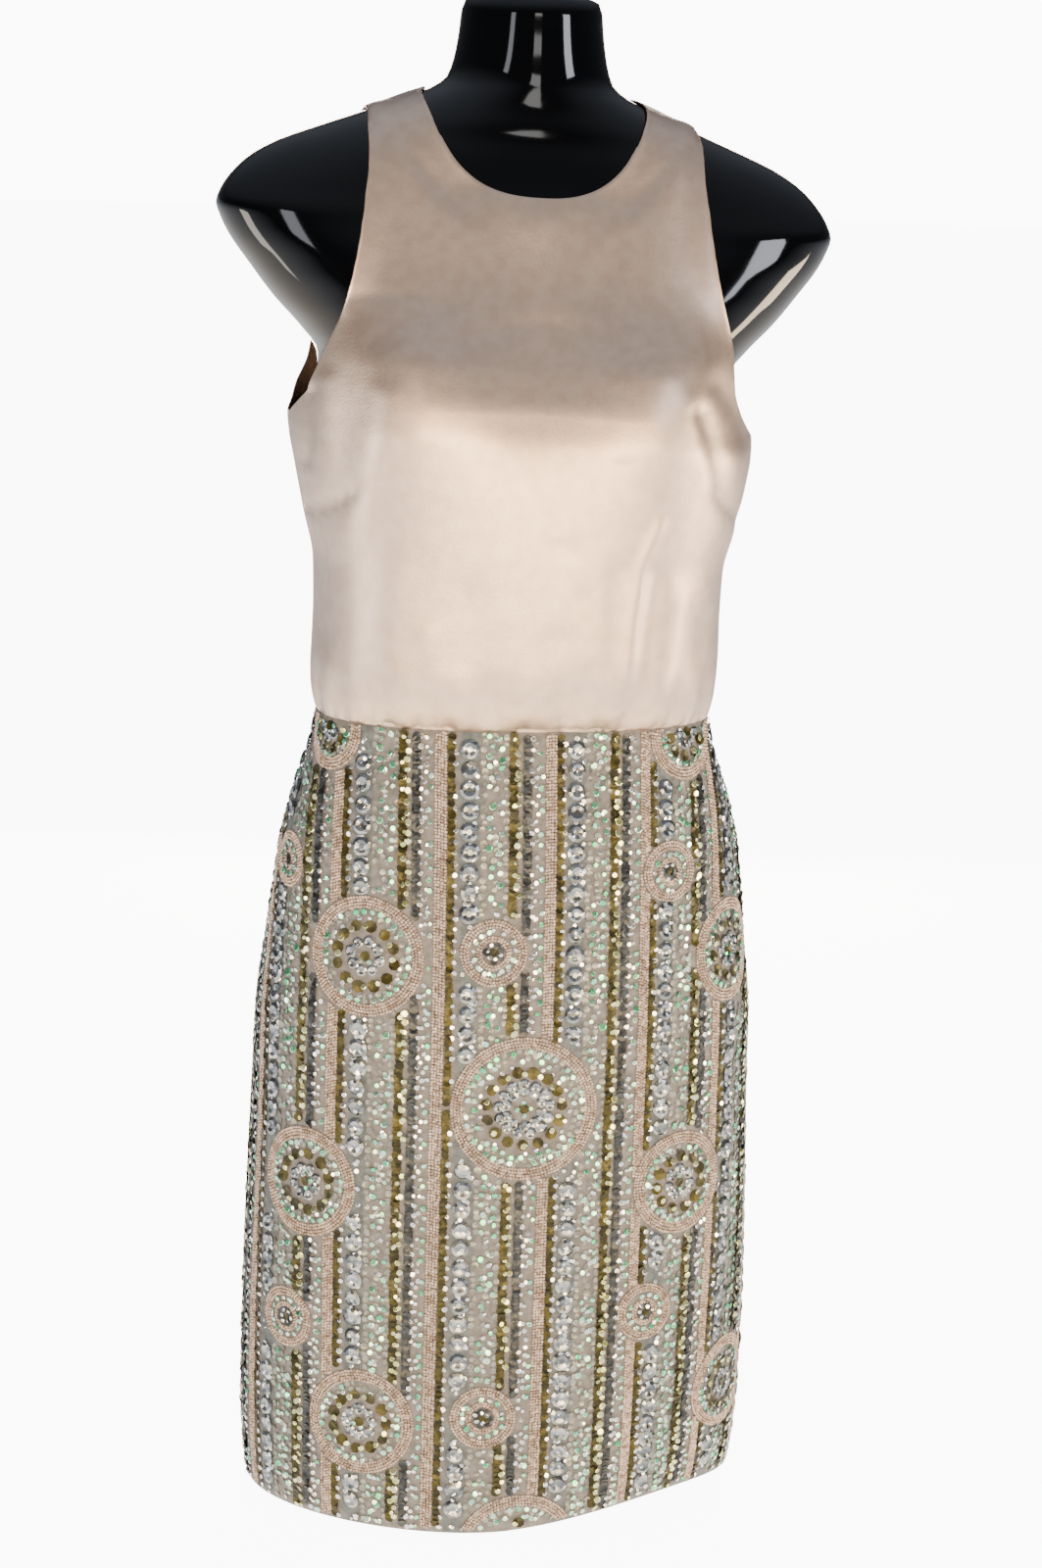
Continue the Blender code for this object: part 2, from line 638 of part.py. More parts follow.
# ---------------------------------------------------------------- the dress on its form
def build():
    for old in list(bpy.data.objects):
        bpy.data.objects.remove(old, do_unlink=True)
    crepe = material("blush_crepe", BLUSH, 0.45)
    beaded = material("beaded_net", BEADED, 0.35, 0.3)
    nickel = material("nickel_plate", NICKEL, 0.3, 1.0)
    gloss = material("gloss_black_shell", BLACK, 0.08)

    add_form(gloss)
    form_tree = form_surface()
    half = BODICE_COLUMNS // 2
    add_panel("bodice_front", BODICE_RINGS, BODICE_SAMPLES, BODICE_COLUMNS, "front", BODICE_CLOTH,
              form_tree, crepe)
    add_panel("bodice_back_left", BODICE_RINGS, BODICE_SAMPLES, half, "left", BODICE_CLOTH,
              form_tree, crepe)
    add_panel("bodice_back_right", BODICE_RINGS, BODICE_SAMPLES, half, "right", BODICE_CLOTH,
              form_tree, crepe)
    half = SKIRT_COLUMNS // 2
    add_panel("skirt_front", SKIRT_RINGS, SKIRT_SAMPLES, SKIRT_COLUMNS, "front", SKIRT_CLOTH,
              form_tree, beaded)
    add_panel("skirt_back_left", SKIRT_RINGS, SKIRT_SAMPLES, half, "left", SKIRT_CLOTH,
              form_tree, beaded)
    add_panel("skirt_back_right", SKIRT_RINGS, SKIRT_SAMPLES, half, "right", SKIRT_CLOTH,
              form_tree, beaded)
    add_zip(form_tree, crepe)
    frame = slider_frame(form_tree)
    add_slider(frame, nickel)
    add_pull(frame, nickel)


build()
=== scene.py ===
"""Looks of a sleeveless cocktail dress on its torso form: a blush crepe blouson bodice over a beaded
and sequinned pencil skirt. Metres, +Z up, the wearer's front faces -Y and their left is +X.

The cloth follows the same rings as the solids, worked out in millimetres. A spot on it is an angle
round from the centre front, and a position that counts the rings upwards.
"""
import math

import bpy
import numpy as np
from mathutils import Matrix, Vector
from mathutils.bvhtree import BVHTree


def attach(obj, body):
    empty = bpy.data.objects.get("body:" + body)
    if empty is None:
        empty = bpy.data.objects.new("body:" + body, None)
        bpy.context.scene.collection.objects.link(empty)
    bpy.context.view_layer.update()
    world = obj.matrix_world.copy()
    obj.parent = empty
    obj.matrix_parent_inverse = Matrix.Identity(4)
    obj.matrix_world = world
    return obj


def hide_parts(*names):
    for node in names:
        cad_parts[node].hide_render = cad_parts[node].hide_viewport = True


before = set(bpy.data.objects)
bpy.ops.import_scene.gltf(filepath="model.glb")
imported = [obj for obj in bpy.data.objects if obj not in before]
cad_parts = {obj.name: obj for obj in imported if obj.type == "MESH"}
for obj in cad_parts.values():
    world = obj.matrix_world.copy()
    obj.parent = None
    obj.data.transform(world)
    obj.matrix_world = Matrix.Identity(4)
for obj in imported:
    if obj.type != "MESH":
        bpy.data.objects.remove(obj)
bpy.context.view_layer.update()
MM = 0.001
HALF_TURN = math.pi

# ---- sizes, in millimetres
BODICE_CLOTH = 1.2      # of the solid walls, inside to outside
SKIRT_CLOTH = 1.6
SHEET = 0.9             # the cloth itself, under the outer face of each solid wall
SEAM_GAP = 0.3          # between two panels
DRAPE_GAP = 1.5         # least room between the cloth and the form
SEAT_GAP = 0.8          # the same on the shoulders
ZIP_ROOM = 3.2          # the same at the centre back, for the zip
WAIST_HEIGHT = 542.0
SHOULDER_RING = 14
UNDERARM_RING = 9
ZIP_LOW_RING = 7        # of the skirt, at the zip's bottom stop
ZIP_TOP_RING = 16.85    # of the bodice
GATHERS_PER_TURN = 20
GATHER_DEPTH = 1.7
LEAN = 1.8              # degrees by which the shoulders dip to the left
LEAN_HEIGHTS = (600.0, 720.0, 935.0, 985.0)     # it grows between the first two, fades between the last
BUST_RISE = 11.0        # how far each side of the bust lifts the cloth
BUST_X = 78.0
BUST_HEIGHT = 768.0
BUST_WIDTH = 42.0
BUST_ABOVE = 30.0       # the lift fades over this height above the bust
BUST_BELOW = 60.0
HEM_LIFT = 15.0         # the hem's rise where it hangs unevenly
HEM_LIFT_ANGLE = 44.0   # degrees round from the centre front
HEM_LIFT_SPREAD = 36.0
HEM_LIFT_HEIGHT = 110.0 # height over which the rise is eased out

FORM_COLUMNS = ("height", "half_width", "front", "back", "fullness")
FORM_RINGS = (
    (0, 110, 58, 80, 2.3),
    (4, 113, 61, 83, 2.3),
    (150, 152, 97, 108, 2.35),
    (280, 158, 104, 119, 2.4),
    (360, 154, 103, 118, 2.4),
    (430, 144, 98, 104, 2.3),
    (490, 128, 88, 84, 2.3),
    (545, 114, 79, 68, 2.3),
    (590, 112, 79, 68, 2.3),
    (640, 117, 87, 76, 2.4),
    (690, 126, 104, 84, 2.5),
    (725, 131, 111, 88, 2.6),
    (750, 132, 107, 90, 2.6),
    (770, 133, 98, 92, 2.7),
    (785, 144, 90, 94, 2.8),
    (804, 162, 81.5, 95, 2.9),
    (823, 177, 75, 94, 3),
    (842, 191, 69, 92, 3),
    (854, 197, 65, 89, 3),
    (861, 199, 63, 86.5, 3),
    (870, 196, 60.5, 84, 2.9),
    (884, 186, 57, 78, 2.8),
    (893, 176, 55, 74, 2.7),
    (902, 161, 53, 69, 2.6),
    (911, 139, 51, 63, 2.5),
    (919, 118, 50, 59, 2.4),
    (927, 97, 48.5, 55.5, 2.3),
    (934, 79, 47.5, 53, 2.2),
    (940, 65, 47, 51, 2.1),
    (948, 54, 46, 50, 2),
    (960, 49.5, 45.5, 49, 2),
    (978, 46.5, 44.5, 48, 2),
    (992, 45, 44, 47, 2),
    (997.5, 43, 42, 45, 2),
    (1000, 38, 37, 40, 2),
)

CLOTH_COLUMNS = ("z_front", "z_side", "z_back", "half_width", "side_y", "front", "back", "fullness")
BODICE_RINGS = (
    (542, 542, 542, 127.3, -10, 89, 77, 2.3),
    (549, 549, 549, 129, -10, 95, 83, 2.3),
    (561, 561, 561, 131.3, -10, 102, 89, 2.3),
    (579, 579, 579, 132.3, -11, 107, 91, 2.3),
    (610, 610, 610, 131.5, -12, 110, 90, 2.35),
    (640, 640, 640, 132.2, -12, 112.5, 90, 2.4),
    (670, 670, 670, 139, -11, 115, 92, 2.4),
    (700, 700, 700, 145.5, -8, 117, 95, 2.4),
    (724, 718, 722, 149, -4, 117.5, 98, 2.4),
    (744, 731, 741, 150, 0, 115, 100, 2.4),
    (764, 775, 771, 148.5, 2, 107, 101.5, 2.5),
    (784, 815, 801, 143.5, 3, 97.5, 101.5, 2.6),
    (804, 853, 829, 134, 4, 88.5, 99.5, 2.7),
    (824, 890, 857, 120.5, 4, 80, 94, 2.8),
    (842, 923.5, 882, 103.5, 4, 73.5, 86, 2.7),
    (855, 930, 903, 92, 4, 69.5, 76, 2.55),
    (866, 936, 921, 79.5, 3, 66, 66.5, 2.55),
    (875.5, 940.5, 935, 67, 3, 62.5, 57.5, 2.6),
)
# The skirt's rings lie flat, so each has one height for all three.
SKIRT_RINGS = tuple((height, height, height, *rest) for height, *rest in (
    (6, 164, 0, 112, 117, 1.8),
    (30, 167, 0, 113, 119, 1.95),
    (80, 168.8, 0, 113.5, 122, 2.1),
    (150, 168.3, 0, 113.5, 126, 2.25),
    (220, 166.5, 0, 113, 129, 2.35),
    (290, 164.6, 0, 112.5, 131, 2.35),
    (340, 163.4, -2, 112, 131, 2.35),
    (389, 157.8, -5, 109, 124, 2.35),
    (423, 153.6, -8, 106, 115, 2.3),
    (457, 148.8, -9, 102.5, 104, 2.3),
    (490, 140.3, -10, 98, 92.5, 2.3),
    (507, 134.6, -10, 94.5, 86, 2.3),
    (524, 129.8, -10, 91, 80.5, 2.3),
    (541.7, 127.3, -10, 89, 77, 2.3),
))
# How far the armhole's edge is from the centre line, seen from the front.
ARMHOLE_COLUMNS = ("height", "front_right", "front_left", "back")
ARMHOLE = (
    (731, 150, 150, 150),
    (734, 149.2, 145, 147.2),
    (740, 146.8, 139.6, 143.2),
    (749, 142.9, 133.8, 137.4),
    (763, 137.6, 128.3, 130.2),
    (777, 132.8, 126.8, 127.4),
    (789, 127.5, 126.4, 125.2),
    (800, 122.4, 122.8, 122.8),
    (811, 119.3, 119.6, 121),
    (829, 115.3, 115.3, 118),
    (853, 111.2, 111.2, 113.5),
    (877, 108, 108, 109.5),
    (904, 105.4, 105.4, 105.8),
    (923.5, 103.5, 103.5, 103.5),
)


# ---- curves through the tables
def column(table, names, name):
    place = names.index(name)
    return np.array([row[place] for row in table], float)


def through(xs, ys, x):
    """Values at x of a smooth curve through the points that never overshoots them."""
    xs, ys = np.asarray(xs, float), np.asarray(ys, float)
    step = np.diff(xs)
    rise = np.diff(ys) / step
    slope = np.zeros(len(xs))
    slope[0], slope[-1] = rise[0], rise[-1]
    for k in range(1, len(xs) - 1):
        if rise[k - 1] * rise[k] > 0:
            before, after = 2 * step[k] + step[k - 1], step[k] + 2 * step[k - 1]
            slope[k] = (before + after) / (before / rise[k - 1] + after / rise[k])
    x = np.clip(x, xs[0], xs[-1])
    i = np.clip(np.searchsorted(xs, x, side="right") - 1, 0, len(xs) - 2)
    t = (x - xs[i]) / step[i]
    start = (1 + 2 * t) * (1 - t) ** 2 * ys[i] + t * (1 - t) ** 2 * step[i] * slope[i]
    end = t * t * (3 - 2 * t) * ys[i + 1] + t * t * (t - 1) * step[i] * slope[i + 1]
    return start + end


def ring_value(table, name, position):
    """One column of a cloth table, at positions between its rings."""
    return through(np.arange(len(table)), column(table, CLOTH_COLUMNS, name), position)


def signed_power(value, power):
    return np.sign(value) * np.abs(value) ** power


def smooth_step(low, high, x):
    t = np.clip((x - low) / (high - low), 0.0, 1.0)
    return t * t * (3 - 2 * t)


def unit(vectors):
    return vectors / np.linalg.norm(vectors, axis=-1, keepdims=True)


def lean(x, z):
    """How much higher a point stands because the shoulders dip to the left."""
    start, full, fade, end = LEAN_HEIGHTS
    size = smooth_step(start, full, z) * (1 - smooth_step(fade, end, z))
    return -x * math.tan(math.radians(LEAN)) * size


# ---- meshes
def new_object(name, points, faces, finish, smooth=True):
    """A mesh object from points in metres; finish is one material or a list of them."""
    mesh = bpy.data.meshes.new(name)
    points = np.asarray(points, np.float32)
    faces = [np.asarray(group, np.int32) for group in faces if len(group)]
    sizes = np.concatenate([np.full(len(group), group.shape[1]) for group in faces])
    loops = np.concatenate([group.ravel() for group in faces])
    mesh.vertices.add(len(points))
    mesh.vertices.foreach_set("co", points.ravel())
    mesh.loops.add(len(loops))
    mesh.loops.foreach_set("vertex_index", loops)
    mesh.polygons.add(len(sizes))
    mesh.polygons.foreach_set("loop_start", np.concatenate([[0], np.cumsum(sizes)[:-1]]))
    mesh.polygons.foreach_set("loop_total", sizes)
    mesh.polygons.foreach_set("use_smooth", np.full(len(sizes), smooth))
    mesh.update(calc_edges=True)
    mesh.validate()
    for item in finish if isinstance(finish, list) else [finish]:
        mesh.materials.append(item)
    made = bpy.data.objects.new(name, mesh)
    bpy.context.scene.collection.objects.link(made)
    return made


def ring_faces(rings, sides):
    """Four-sided faces between rings of points, each ring closed."""
    low = np.arange(rings - 1)[:, None] * sides + np.arange(sides)[None, :]
    turn = np.arange(rings - 1)[:, None] * sides + (np.arange(sides)[None, :] + 1) % sides
    return np.stack([low, turn, turn + sides, low + sides], -1).reshape(-1, 4)


def turned_shape(profile, sides):
    """A small closed solid from (radius, height) pairs that start and end on its axis."""
    angle = np.linspace(0, 2 * HALF_TURN, sides, endpoint=False)
    rings = profile[1:-1]
    points = [(0, 0, profile[0][1])]
    for radius, height in rings:
        points += [(radius * math.cos(a), radius * math.sin(a), height) for a in angle]
    points.append((0, 0, profile[-1][1]))
    quads = ring_faces(len(rings), sides) + 1 if len(rings) > 1 else np.zeros((0, 4), int)
    k = np.arange(sides)
    first = np.stack([np.zeros(sides, int), 1 + (k + 1) % sides, 1 + k], -1)
    base = 1 + (len(rings) - 1) * sides
    last = np.stack([np.full(sides, len(points) - 1), base + k, base + (k + 1) % sides], -1)
    return np.array(points, float), quads, np.concatenate([first, last])


def scattered(name, shape, middles, turns, used, smooth=True):
    """Copies of one small shape, each turned and placed, as one mesh that rides on the dress."""
    corners, *groups = shape
    points = middles[:, None, :] + np.einsum("nij,vj->nvi", turns, corners)
    step = (np.arange(len(middles)) * len(corners))[:, None, None]
    faces = [(group[None] + step).reshape(-1, group.shape[1]) for group in groups if len(group)]
    made = new_object(name, points.reshape(-1, 3) * MM, faces, used, smooth)
    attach(made, "dress")
    return made


# ---- the form's surface
FORM_SIDES = 120
FORM_STEP = 6           # the most between two rows of its points


def form_points(heights):
    half_width, front, back, fullness = (
        through(column(FORM_RINGS, FORM_COLUMNS, "height"), column(FORM_RINGS, FORM_COLUMNS, name),
                heights)[:, None] for name in FORM_COLUMNS[1:])
    angle = np.linspace(0, 2 * HALF_TURN, FORM_SIDES, endpoint=False)[None, :]
    across = signed_power(np.sin(angle), 2 / fullness)
    along = signed_power(np.cos(angle), 2 / fullness)
    x = half_width * across
    y = -np.where(along >= 0, front, back) * along
    return np.stack([x, y, heights[:, None] + lean(x, heights[:, None])], -1).reshape(-1, 3)


FORM_HEIGHTS = np.concatenate([
    np.linspace(low[0], high[0], max(1, math.ceil((high[0] - low[0]) / FORM_STEP)), endpoint=False)
    for low, high in zip(FORM_RINGS, FORM_RINGS[1:])] + [[FORM_RINGS[-1][0]]])
FORM_POINTS = form_points(FORM_HEIGHTS)
FORM_FACES = ring_faces(len(FORM_HEIGHTS), FORM_SIDES)
FORM_TREE = BVHTree.FromPolygons([tuple(p) for p in FORM_POINTS], [tuple(f) for f in FORM_FACES])


# ---- the cloth's surface
def gather_wave(angle, z):
    """Soft gathers above the waist seam: fullest 12 mm over it, and gone at 52 mm."""
    above = z - WAIST_HEIGHT
    size = smooth_step(-4, 12, above) * (1 - smooth_step(12, 52, above))
    uneven = 0.72 + 0.28 * np.sin(3.1 * angle + 1.0)
    return GATHER_DEPTH * size * uneven * np.cos(GATHERS_PER_TURN * angle)


def cloth(table, angle, position):
    """Points of the cloth's inner face, before it meets the form."""
    angle, position = np.broadcast_arrays(np.asarray(angle, float), np.asarray(position, float))
    angle = np.where(angle > HALF_TURN, angle - 2 * HALF_TURN, angle)
    ring = {name: ring_value(table, name, position) for name in CLOTH_COLUMNS}
    across = signed_power(np.sin(angle), 2 / ring["fullness"])
    along = signed_power(np.cos(angle), 2 / ring["fullness"])
    toward_front = along >= 0
    depth = np.where(toward_front, ring["front"] + ring["side_y"], ring["back"] - ring["side_y"])
    x = ring["half_width"] * across
    y = ring["side_y"] - depth * along
    z_centre = np.where(toward_front, ring["z_front"], ring["z_back"])
    z = z_centre
    if table is BODICE_RINGS:
        # rings bow up to the side seam low on the bodice, and scoop round the neck high on it
        bowed = np.abs(across) ** 2.5
        scooped = (1 - np.abs(along)) ** 0.9
        climb = bowed + (scooped - bowed) * smooth_step(SHOULDER_RING, len(table) - 1, position)
        z = z + (ring["z_side"] - z_centre) * climb
        reach = np.where(z > BUST_HEIGHT, BUST_ABOVE, BUST_BELOW)
        lift = BUST_RISE * np.exp(-((np.abs(x) - BUST_X) / BUST_WIDTH) ** 2)
        lift = lift * np.exp(-((z - BUST_HEIGHT) / reach) ** 2)
        y = y - np.where(toward_front, lift * along, 0)
        wave = gather_wave(angle, z)
        x = x + wave * np.sin(angle)
        y = y - wave * np.cos(angle)
        z = z + lean(x, z)
    else:
        spread = np.exp(-((np.degrees(angle) - HEM_LIFT_ANGLE) / HEM_LIFT_SPREAD) ** 2)
        z = z + HEM_LIFT * spread * (1 - smooth_step(0, HEM_LIFT_HEIGHT, z))
    return np.stack([x, y, z], -1)


def free_normals(table, angle, position, low, high):
    """The cloth's normals where it hangs free; low and high are positions just under and over."""
    turn = 0.004
    across = cloth(table, angle + turn, position) - cloth(table, angle - turn, position)
    return unit(np.cross(across, cloth(table, angle, high) - cloth(table, angle, low)))


def room(table, angle, position):
    """Least room between the cloth and the form: less on the shoulders, more over the zip."""
    gap = DRAPE_GAP + np.zeros(np.broadcast(angle, position).shape)
    if table is BODICE_RINGS:
        gap = gap + (SEAT_GAP - DRAPE_GAP) * smooth_step(SHOULDER_RING - 2, SHOULDER_RING, position)
    from_back = np.abs(HALF_TURN - np.abs(angle))
    return gap + (ZIP_ROOM - gap) * (1 - smooth_step(0.12, 0.30, from_back))


def softened(grid, rounds):
    """Smooths small steps out of a grid of values, keeping its border."""
    for _ in range(rounds):
        inner = (grid[:-2, 1:-1] + grid[2:, 1:-1] + grid[1:-1, :-2] + grid[1:-1, 2:]) / 4
        grid[1:-1, 1:-1] = (grid[1:-1, 1:-1] + inner) / 2
    return grid


def cleared(points, rooms):
    """The same points, raised to stand at least that far off the form."""
    farthest = 30       # a point further off than this is clear of the form
    flat, gaps = points.reshape(-1, 3).copy(), rooms.ravel()
    for k, point in enumerate(flat):
        spot = Vector(point)
        near, normal, _, _ = FORM_TREE.find_nearest(spot, farthest)
        if near is not None:
            height = (spot - near).dot(normal)
            if height < gaps[k]:
                flat[k] = point + np.array(normal) * (gaps[k] - height)
    return flat.reshape(points.shape)


def settled(table, angle, position, rounds):
    """The cloth's inner face where it rests on the form, eased so that no step shows in it."""
    plain = cloth(table, angle, position)
    rooms = room(table, angle, position)
    raised = softened(cleared(plain, rooms) - plain, rounds)
    return plain + softened(cleared(plain + raised, rooms * 0.6) - plain, 4)


# How far each edge of the cloth is turned in from the solid's armhole; the back reaches further out.
ARMHOLE_TURN_IN = {"front_right": 1.2, "front_left": 0.8, "back": -4.0}
# The turn-in grows between the first two heights and fades between the last.
TURN_IN_HEIGHTS = (733, 750, 895, 923)


def armhole_reach(position, side):
    """How far each ring reaches round from its centre line, in radians."""
    start, full, fade, end = TURN_IN_HEIGHTS
    heights = column(ARMHOLE, ARMHOLE_COLUMNS, "height")
    widths = column(ARMHOLE, ARMHOLE_COLUMNS, side)
    steps = np.linspace(HALF_TURN / 2, 0.3, 900)
    angles = {"front_right": -steps, "front_left": steps, "back": HALF_TURN - steps}[side]
    reach = np.full(len(position), HALF_TURN / 2)
    for k, place in enumerate(position):
        if UNDERARM_RING < place < SHOULDER_RING:
            points = cloth(BODICE_RINGS, angles, np.full(len(angles), place))
            level = points[:, 2] - lean(points[:, 0], points[:, 2])
            turned_in = smooth_step(start, full, level) * (1 - smooth_step(fade, end, level))
            turned_in = turned_in * ARMHOLE_TURN_IN[side]
            over = np.abs(points[:, 0]) - through(heights, widths, level) + turned_in
            hit = int(np.argmax(over <= 0))
            share = over[hit - 1] / (over[hit - 1] - over[hit]) if hit else 0
            reach[k] = steps[max(hit - 1, 0)] + share * (steps[hit] - steps[max(hit - 1, 0)])
    return reach


# ---- materials
def tone(code):
    """Linear colour of an sRGB hex value."""
    parts = [int(code[k:k + 2], 16) / 255 for k in (1, 3, 5)]
    return tuple(p / 12.92 if p <= 0.04045 else ((p + 0.055) / 1.055) ** 2.4 for p in parts) + (1,)


def add(tree, kind, settings=None, links=None):
    """Adds a node. Settings and links name its properties or sockets, or give a socket's place."""
    node = tree.nodes.new(kind)
    for key, value in (settings or {}).items():
        if isinstance(key, str) and hasattr(node, key):
            setattr(node, key, value)
        else:
            node.inputs[key].default_value = value
    for key, source in (links or {}).items():
        tree.links.new(source, node.inputs[key])
    return node


def finish(name, settings):
    """A material with one Principled shader; returns the material, its node tree and the shader."""
    made = bpy.data.materials.new(name)
    made.use_nodes = True
    tree = made.node_tree
    tree.nodes.clear()
    shader = add(tree, "ShaderNodeBsdfPrincipled", settings)
    add(tree, "ShaderNodeOutputMaterial", links={"Surface": shader.outputs[0]})
    return made, tree, shader


def varied(tree, shader, dark, light, mm, low=0.35, high=0.65, kind="noise"):
    """Mixes two tones over the surface: soft clouds of that size, or one tone a cell."""
    place = add(tree, "ShaderNodeTexCoord").outputs["Object"]
    if kind == "noise":
        field = add(tree, "ShaderNodeTexNoise", {"Scale": 1000 / mm, "Detail": 3.0}, {"Vector": place})
        amount = field.outputs["Fac"]
    else:
        field = add(tree, "ShaderNodeTexVoronoi", {"Scale": 1000 / mm}, {"Vector": place})
        parts = add(tree, "ShaderNodeSeparateColor", links={0: field.outputs["Color"]})
        amount = parts.outputs[0]
    share = add(tree, "ShaderNodeMapRange", {"From Min": low, "From Max": high}, {"Value": amount})
    mixed = add(tree, "ShaderNodeMix", {"data_type": "RGBA", 6: tone(dark), 7: tone(light)},
                {0: share.outputs[0]})
    tree.links.new(mixed.outputs[2], shader.inputs["Base Color"])
    return place, mixed


def rough_surface(tree, shader, place, mm, height_mm, strength, stretch=(1, 1, 1)):
    """Raises a fine grain of that size and height."""
    turned = add(tree, "ShaderNodeMapping", {"Scale": stretch}, {"Vector": place})
    grain = add(tree, "ShaderNodeTexNoise", {"Scale": 1000 / mm, "Detail": 2.0},
                {"Vector": turned.outputs[0]})
    bump = add(tree, "ShaderNodeBump", {"Strength": strength, "Distance": height_mm * MM},
               {"Height": grain.outputs["Fac"]})
    tree.links.new(bump.outputs[0], shader.inputs["Normal"])


def grained(name, settings, dark, light, mm, *grain):
    """A material in clouds of two close tones, with a fine grain: see rough_surface for its sizes."""
    made, tree, shader = finish(name, settings)
    place, _ = varied(tree, shader, dark, light, mm)
    rough_surface(tree, shader, place, *grain)
    return made


def satin_crepe():
    """Polyester satin-faced crepe, woven with over-twisted yarn: a fine pebble under a soft sheen.

    Its long floats give the light back in the cloth's own colour, as a brushed metal does. The pebble
    is about 0.4 mm; it is drawn four times coarser so that it shows.
    """
    return grained("satin_faced_crepe", {"Roughness": 0.41, "Metallic": 0.95, "Specular IOR Level": 0.4},
                   "#DAC1AE", "#E3CCBA", 9, 1.6, 0.2, 0.55)


def crepe_back_painted_shade():
    """The crepe's dull inner side and its facing, its tones darkened as painted shade for the inside that
    lies in shade.
    """
    return grained("crepe_facing_painted_shade", {"Roughness": 0.8, "Specular IOR Level": 0.2},
                   "#A98D7E", "#B89C8B", 20, 1.0, 0.1, 0.3)


def bead_net():
    """Nylon net on a lilac-grey crepe lining, with a band of smoke-grey net under the paillettes."""
    made, tree, shader = finish("net_over_lining", {"Roughness": 0.6, "Specular IOR Level": 0.35})
    place, ground = varied(tree, shader, "#716E6D", "#8B8886", 5)
    _, smoke = varied(tree, shader, "#596063", "#727A7D", 5)
    # each point of the cloth says how far it is smoke grey
    band = add(tree, "ShaderNodeAttribute", {"attribute_name": "smoke"})
    both = add(tree, "ShaderNodeMix", {"data_type": "RGBA"},
               {0: band.outputs["Fac"], 6: ground.outputs[2], 7: smoke.outputs[2]})
    tree.links.new(both.outputs[2], shader.inputs["Base Color"])
    rough_surface(tree, shader, place, 1.4, 0.25, 0.6)
    return made


def skirt_lining():
    """Acetate lining, plain woven, seen only from under the hem."""
    return grained("acetate_lining", {"Roughness": 0.5, "Specular IOR Level": 0.4},
                   "#8F807C", "#9C8D87", 15, 0.8, 0.08, 0.3)


def gloss_shell():
    """Moulded shell sprayed with black lacquer: mirror gloss with a faint orange peel."""
    return grained("black_lacquer", {"Roughness": 0.06}, "#010101", "#020203", 60, 14, 0.05, 0.12)


def plated_nickel():
    """Die-cast zinc, nickel plated and tumbled: bright with slightly soft edges."""
    return grained("plated_nickel", {"Metallic": 1.0, "Roughness": 0.25},
                   "#B9B4AA", "#D2CEC6", 3, 0.6, 0.02, 0.2)


def zip_tape():
    """Twill-woven polyester tape, its ribs drawn out along the zip."""
    return grained("zip_tape_twill", {"Roughness": 0.7, "Specular IOR Level": 0.3},
                   "#C8B3A2", "#D8C4B3", 6, 0.9, 0.12, 0.4, (1, 1, 0.35))


def sewing_thread():
    """Spun polyester thread, a shade darker than the crepe."""
    made, tree, shader = finish("polyester_thread", {"Roughness": 0.6, "Specular IOR Level": 0.3})
    varied(tree, shader, "#B59D8C", "#C4AE9D", 2)
    return made


def seed_glass():
    """Pressed glass: each bead its own tone, with a small bright highlight."""
    made, tree, shader = finish("blush_seed_glass", {"Roughness": 0.42, "IOR": 1.52})
    varied(tree, shader, "#A68F7F", "#E8D5C8", 2.3, 0.1, 0.9, "cells")
    return made


def foil_sequin(name, dark, light, roughness, metallic, mm=5.0):
    """Punched polyester film or glass with a vapour-coated metal face, each piece its own tone. Pale gold
    pieces are painted highlights, and many clear ones are painted glints as well as beads.
    """
    made, tree, shader = finish(name, {"Roughness": roughness, "Metallic": metallic})
    varied(tree, shader, dark, light, mm, 0.1, 0.9, "cells")
    return made


CREPE = satin_crepe()
FACING_PAINTED_SHADE = crepe_back_painted_shade()
NET = bead_net()
LINING = skirt_lining()
LACQUER = gloss_shell()
NICKEL = plated_nickel()
TAPE = zip_tape()
THREAD = sewing_thread()
PINK_GLASS = seed_glass()
SLATE_FILM = foil_sequin("slate_film", "#1E2224", "#3C4246", 0.3, 0.1, 3.4)
# silver-lined glass beads, most laid where the sequins glint: beads and painted glints both
CLEAR_GLASS_AND_GLINTS = foil_sequin("silver_lined_glass_and_painted_glints", "#ECEEEC", "#FFFFFF", 0.17, 0.9, 3.0)
OLIVE_FOIL = foil_sequin("olive_foil", "#27250A", "#504A18", 0.36, 0.45)
# pale gold pieces laid beside the olive sequins, as painted highlights on them
GOLD_HIGHLIGHT_FOIL = foil_sequin("pale_gold_painted_highlight", "#C6CB84", "#F4F6CC", 0.2, 0.85)
SILVER_FOIL = foil_sequin("smoke_silver_foil", "#70767A", "#AEB3B4", 0.2, 0.9, 7.0)
MINT_FILM = foil_sequin("mint_iridescent_film", "#5FD69C", "#DDFFEC", 0.2, 0.8)
LILAC_FILM = foil_sequin("lilac_clear_film", "#777A76", "#A3A69F", 0.3, 0.35)


# ---- thin sheets
def grid_faces(rows, columns, first):
    a = first + np.arange(rows - 1)[:, None] * columns + np.arange(columns - 1)[None, :]
    return np.stack([a, a + 1, a + 1 + columns, a + columns], -1).reshape(-1, 4)


def border(rows, columns):
    """The grid's outer points in order, anticlockwise as seen from outside."""
    return np.array([c for c in range(columns)]
                    + [r * columns + columns - 1 for r in range(1, rows)]
                    + [(rows - 1) * columns + c for c in range(columns - 2, -1, -1)]
                    + [r * columns for r in range(rows - 2, 0, -1)])


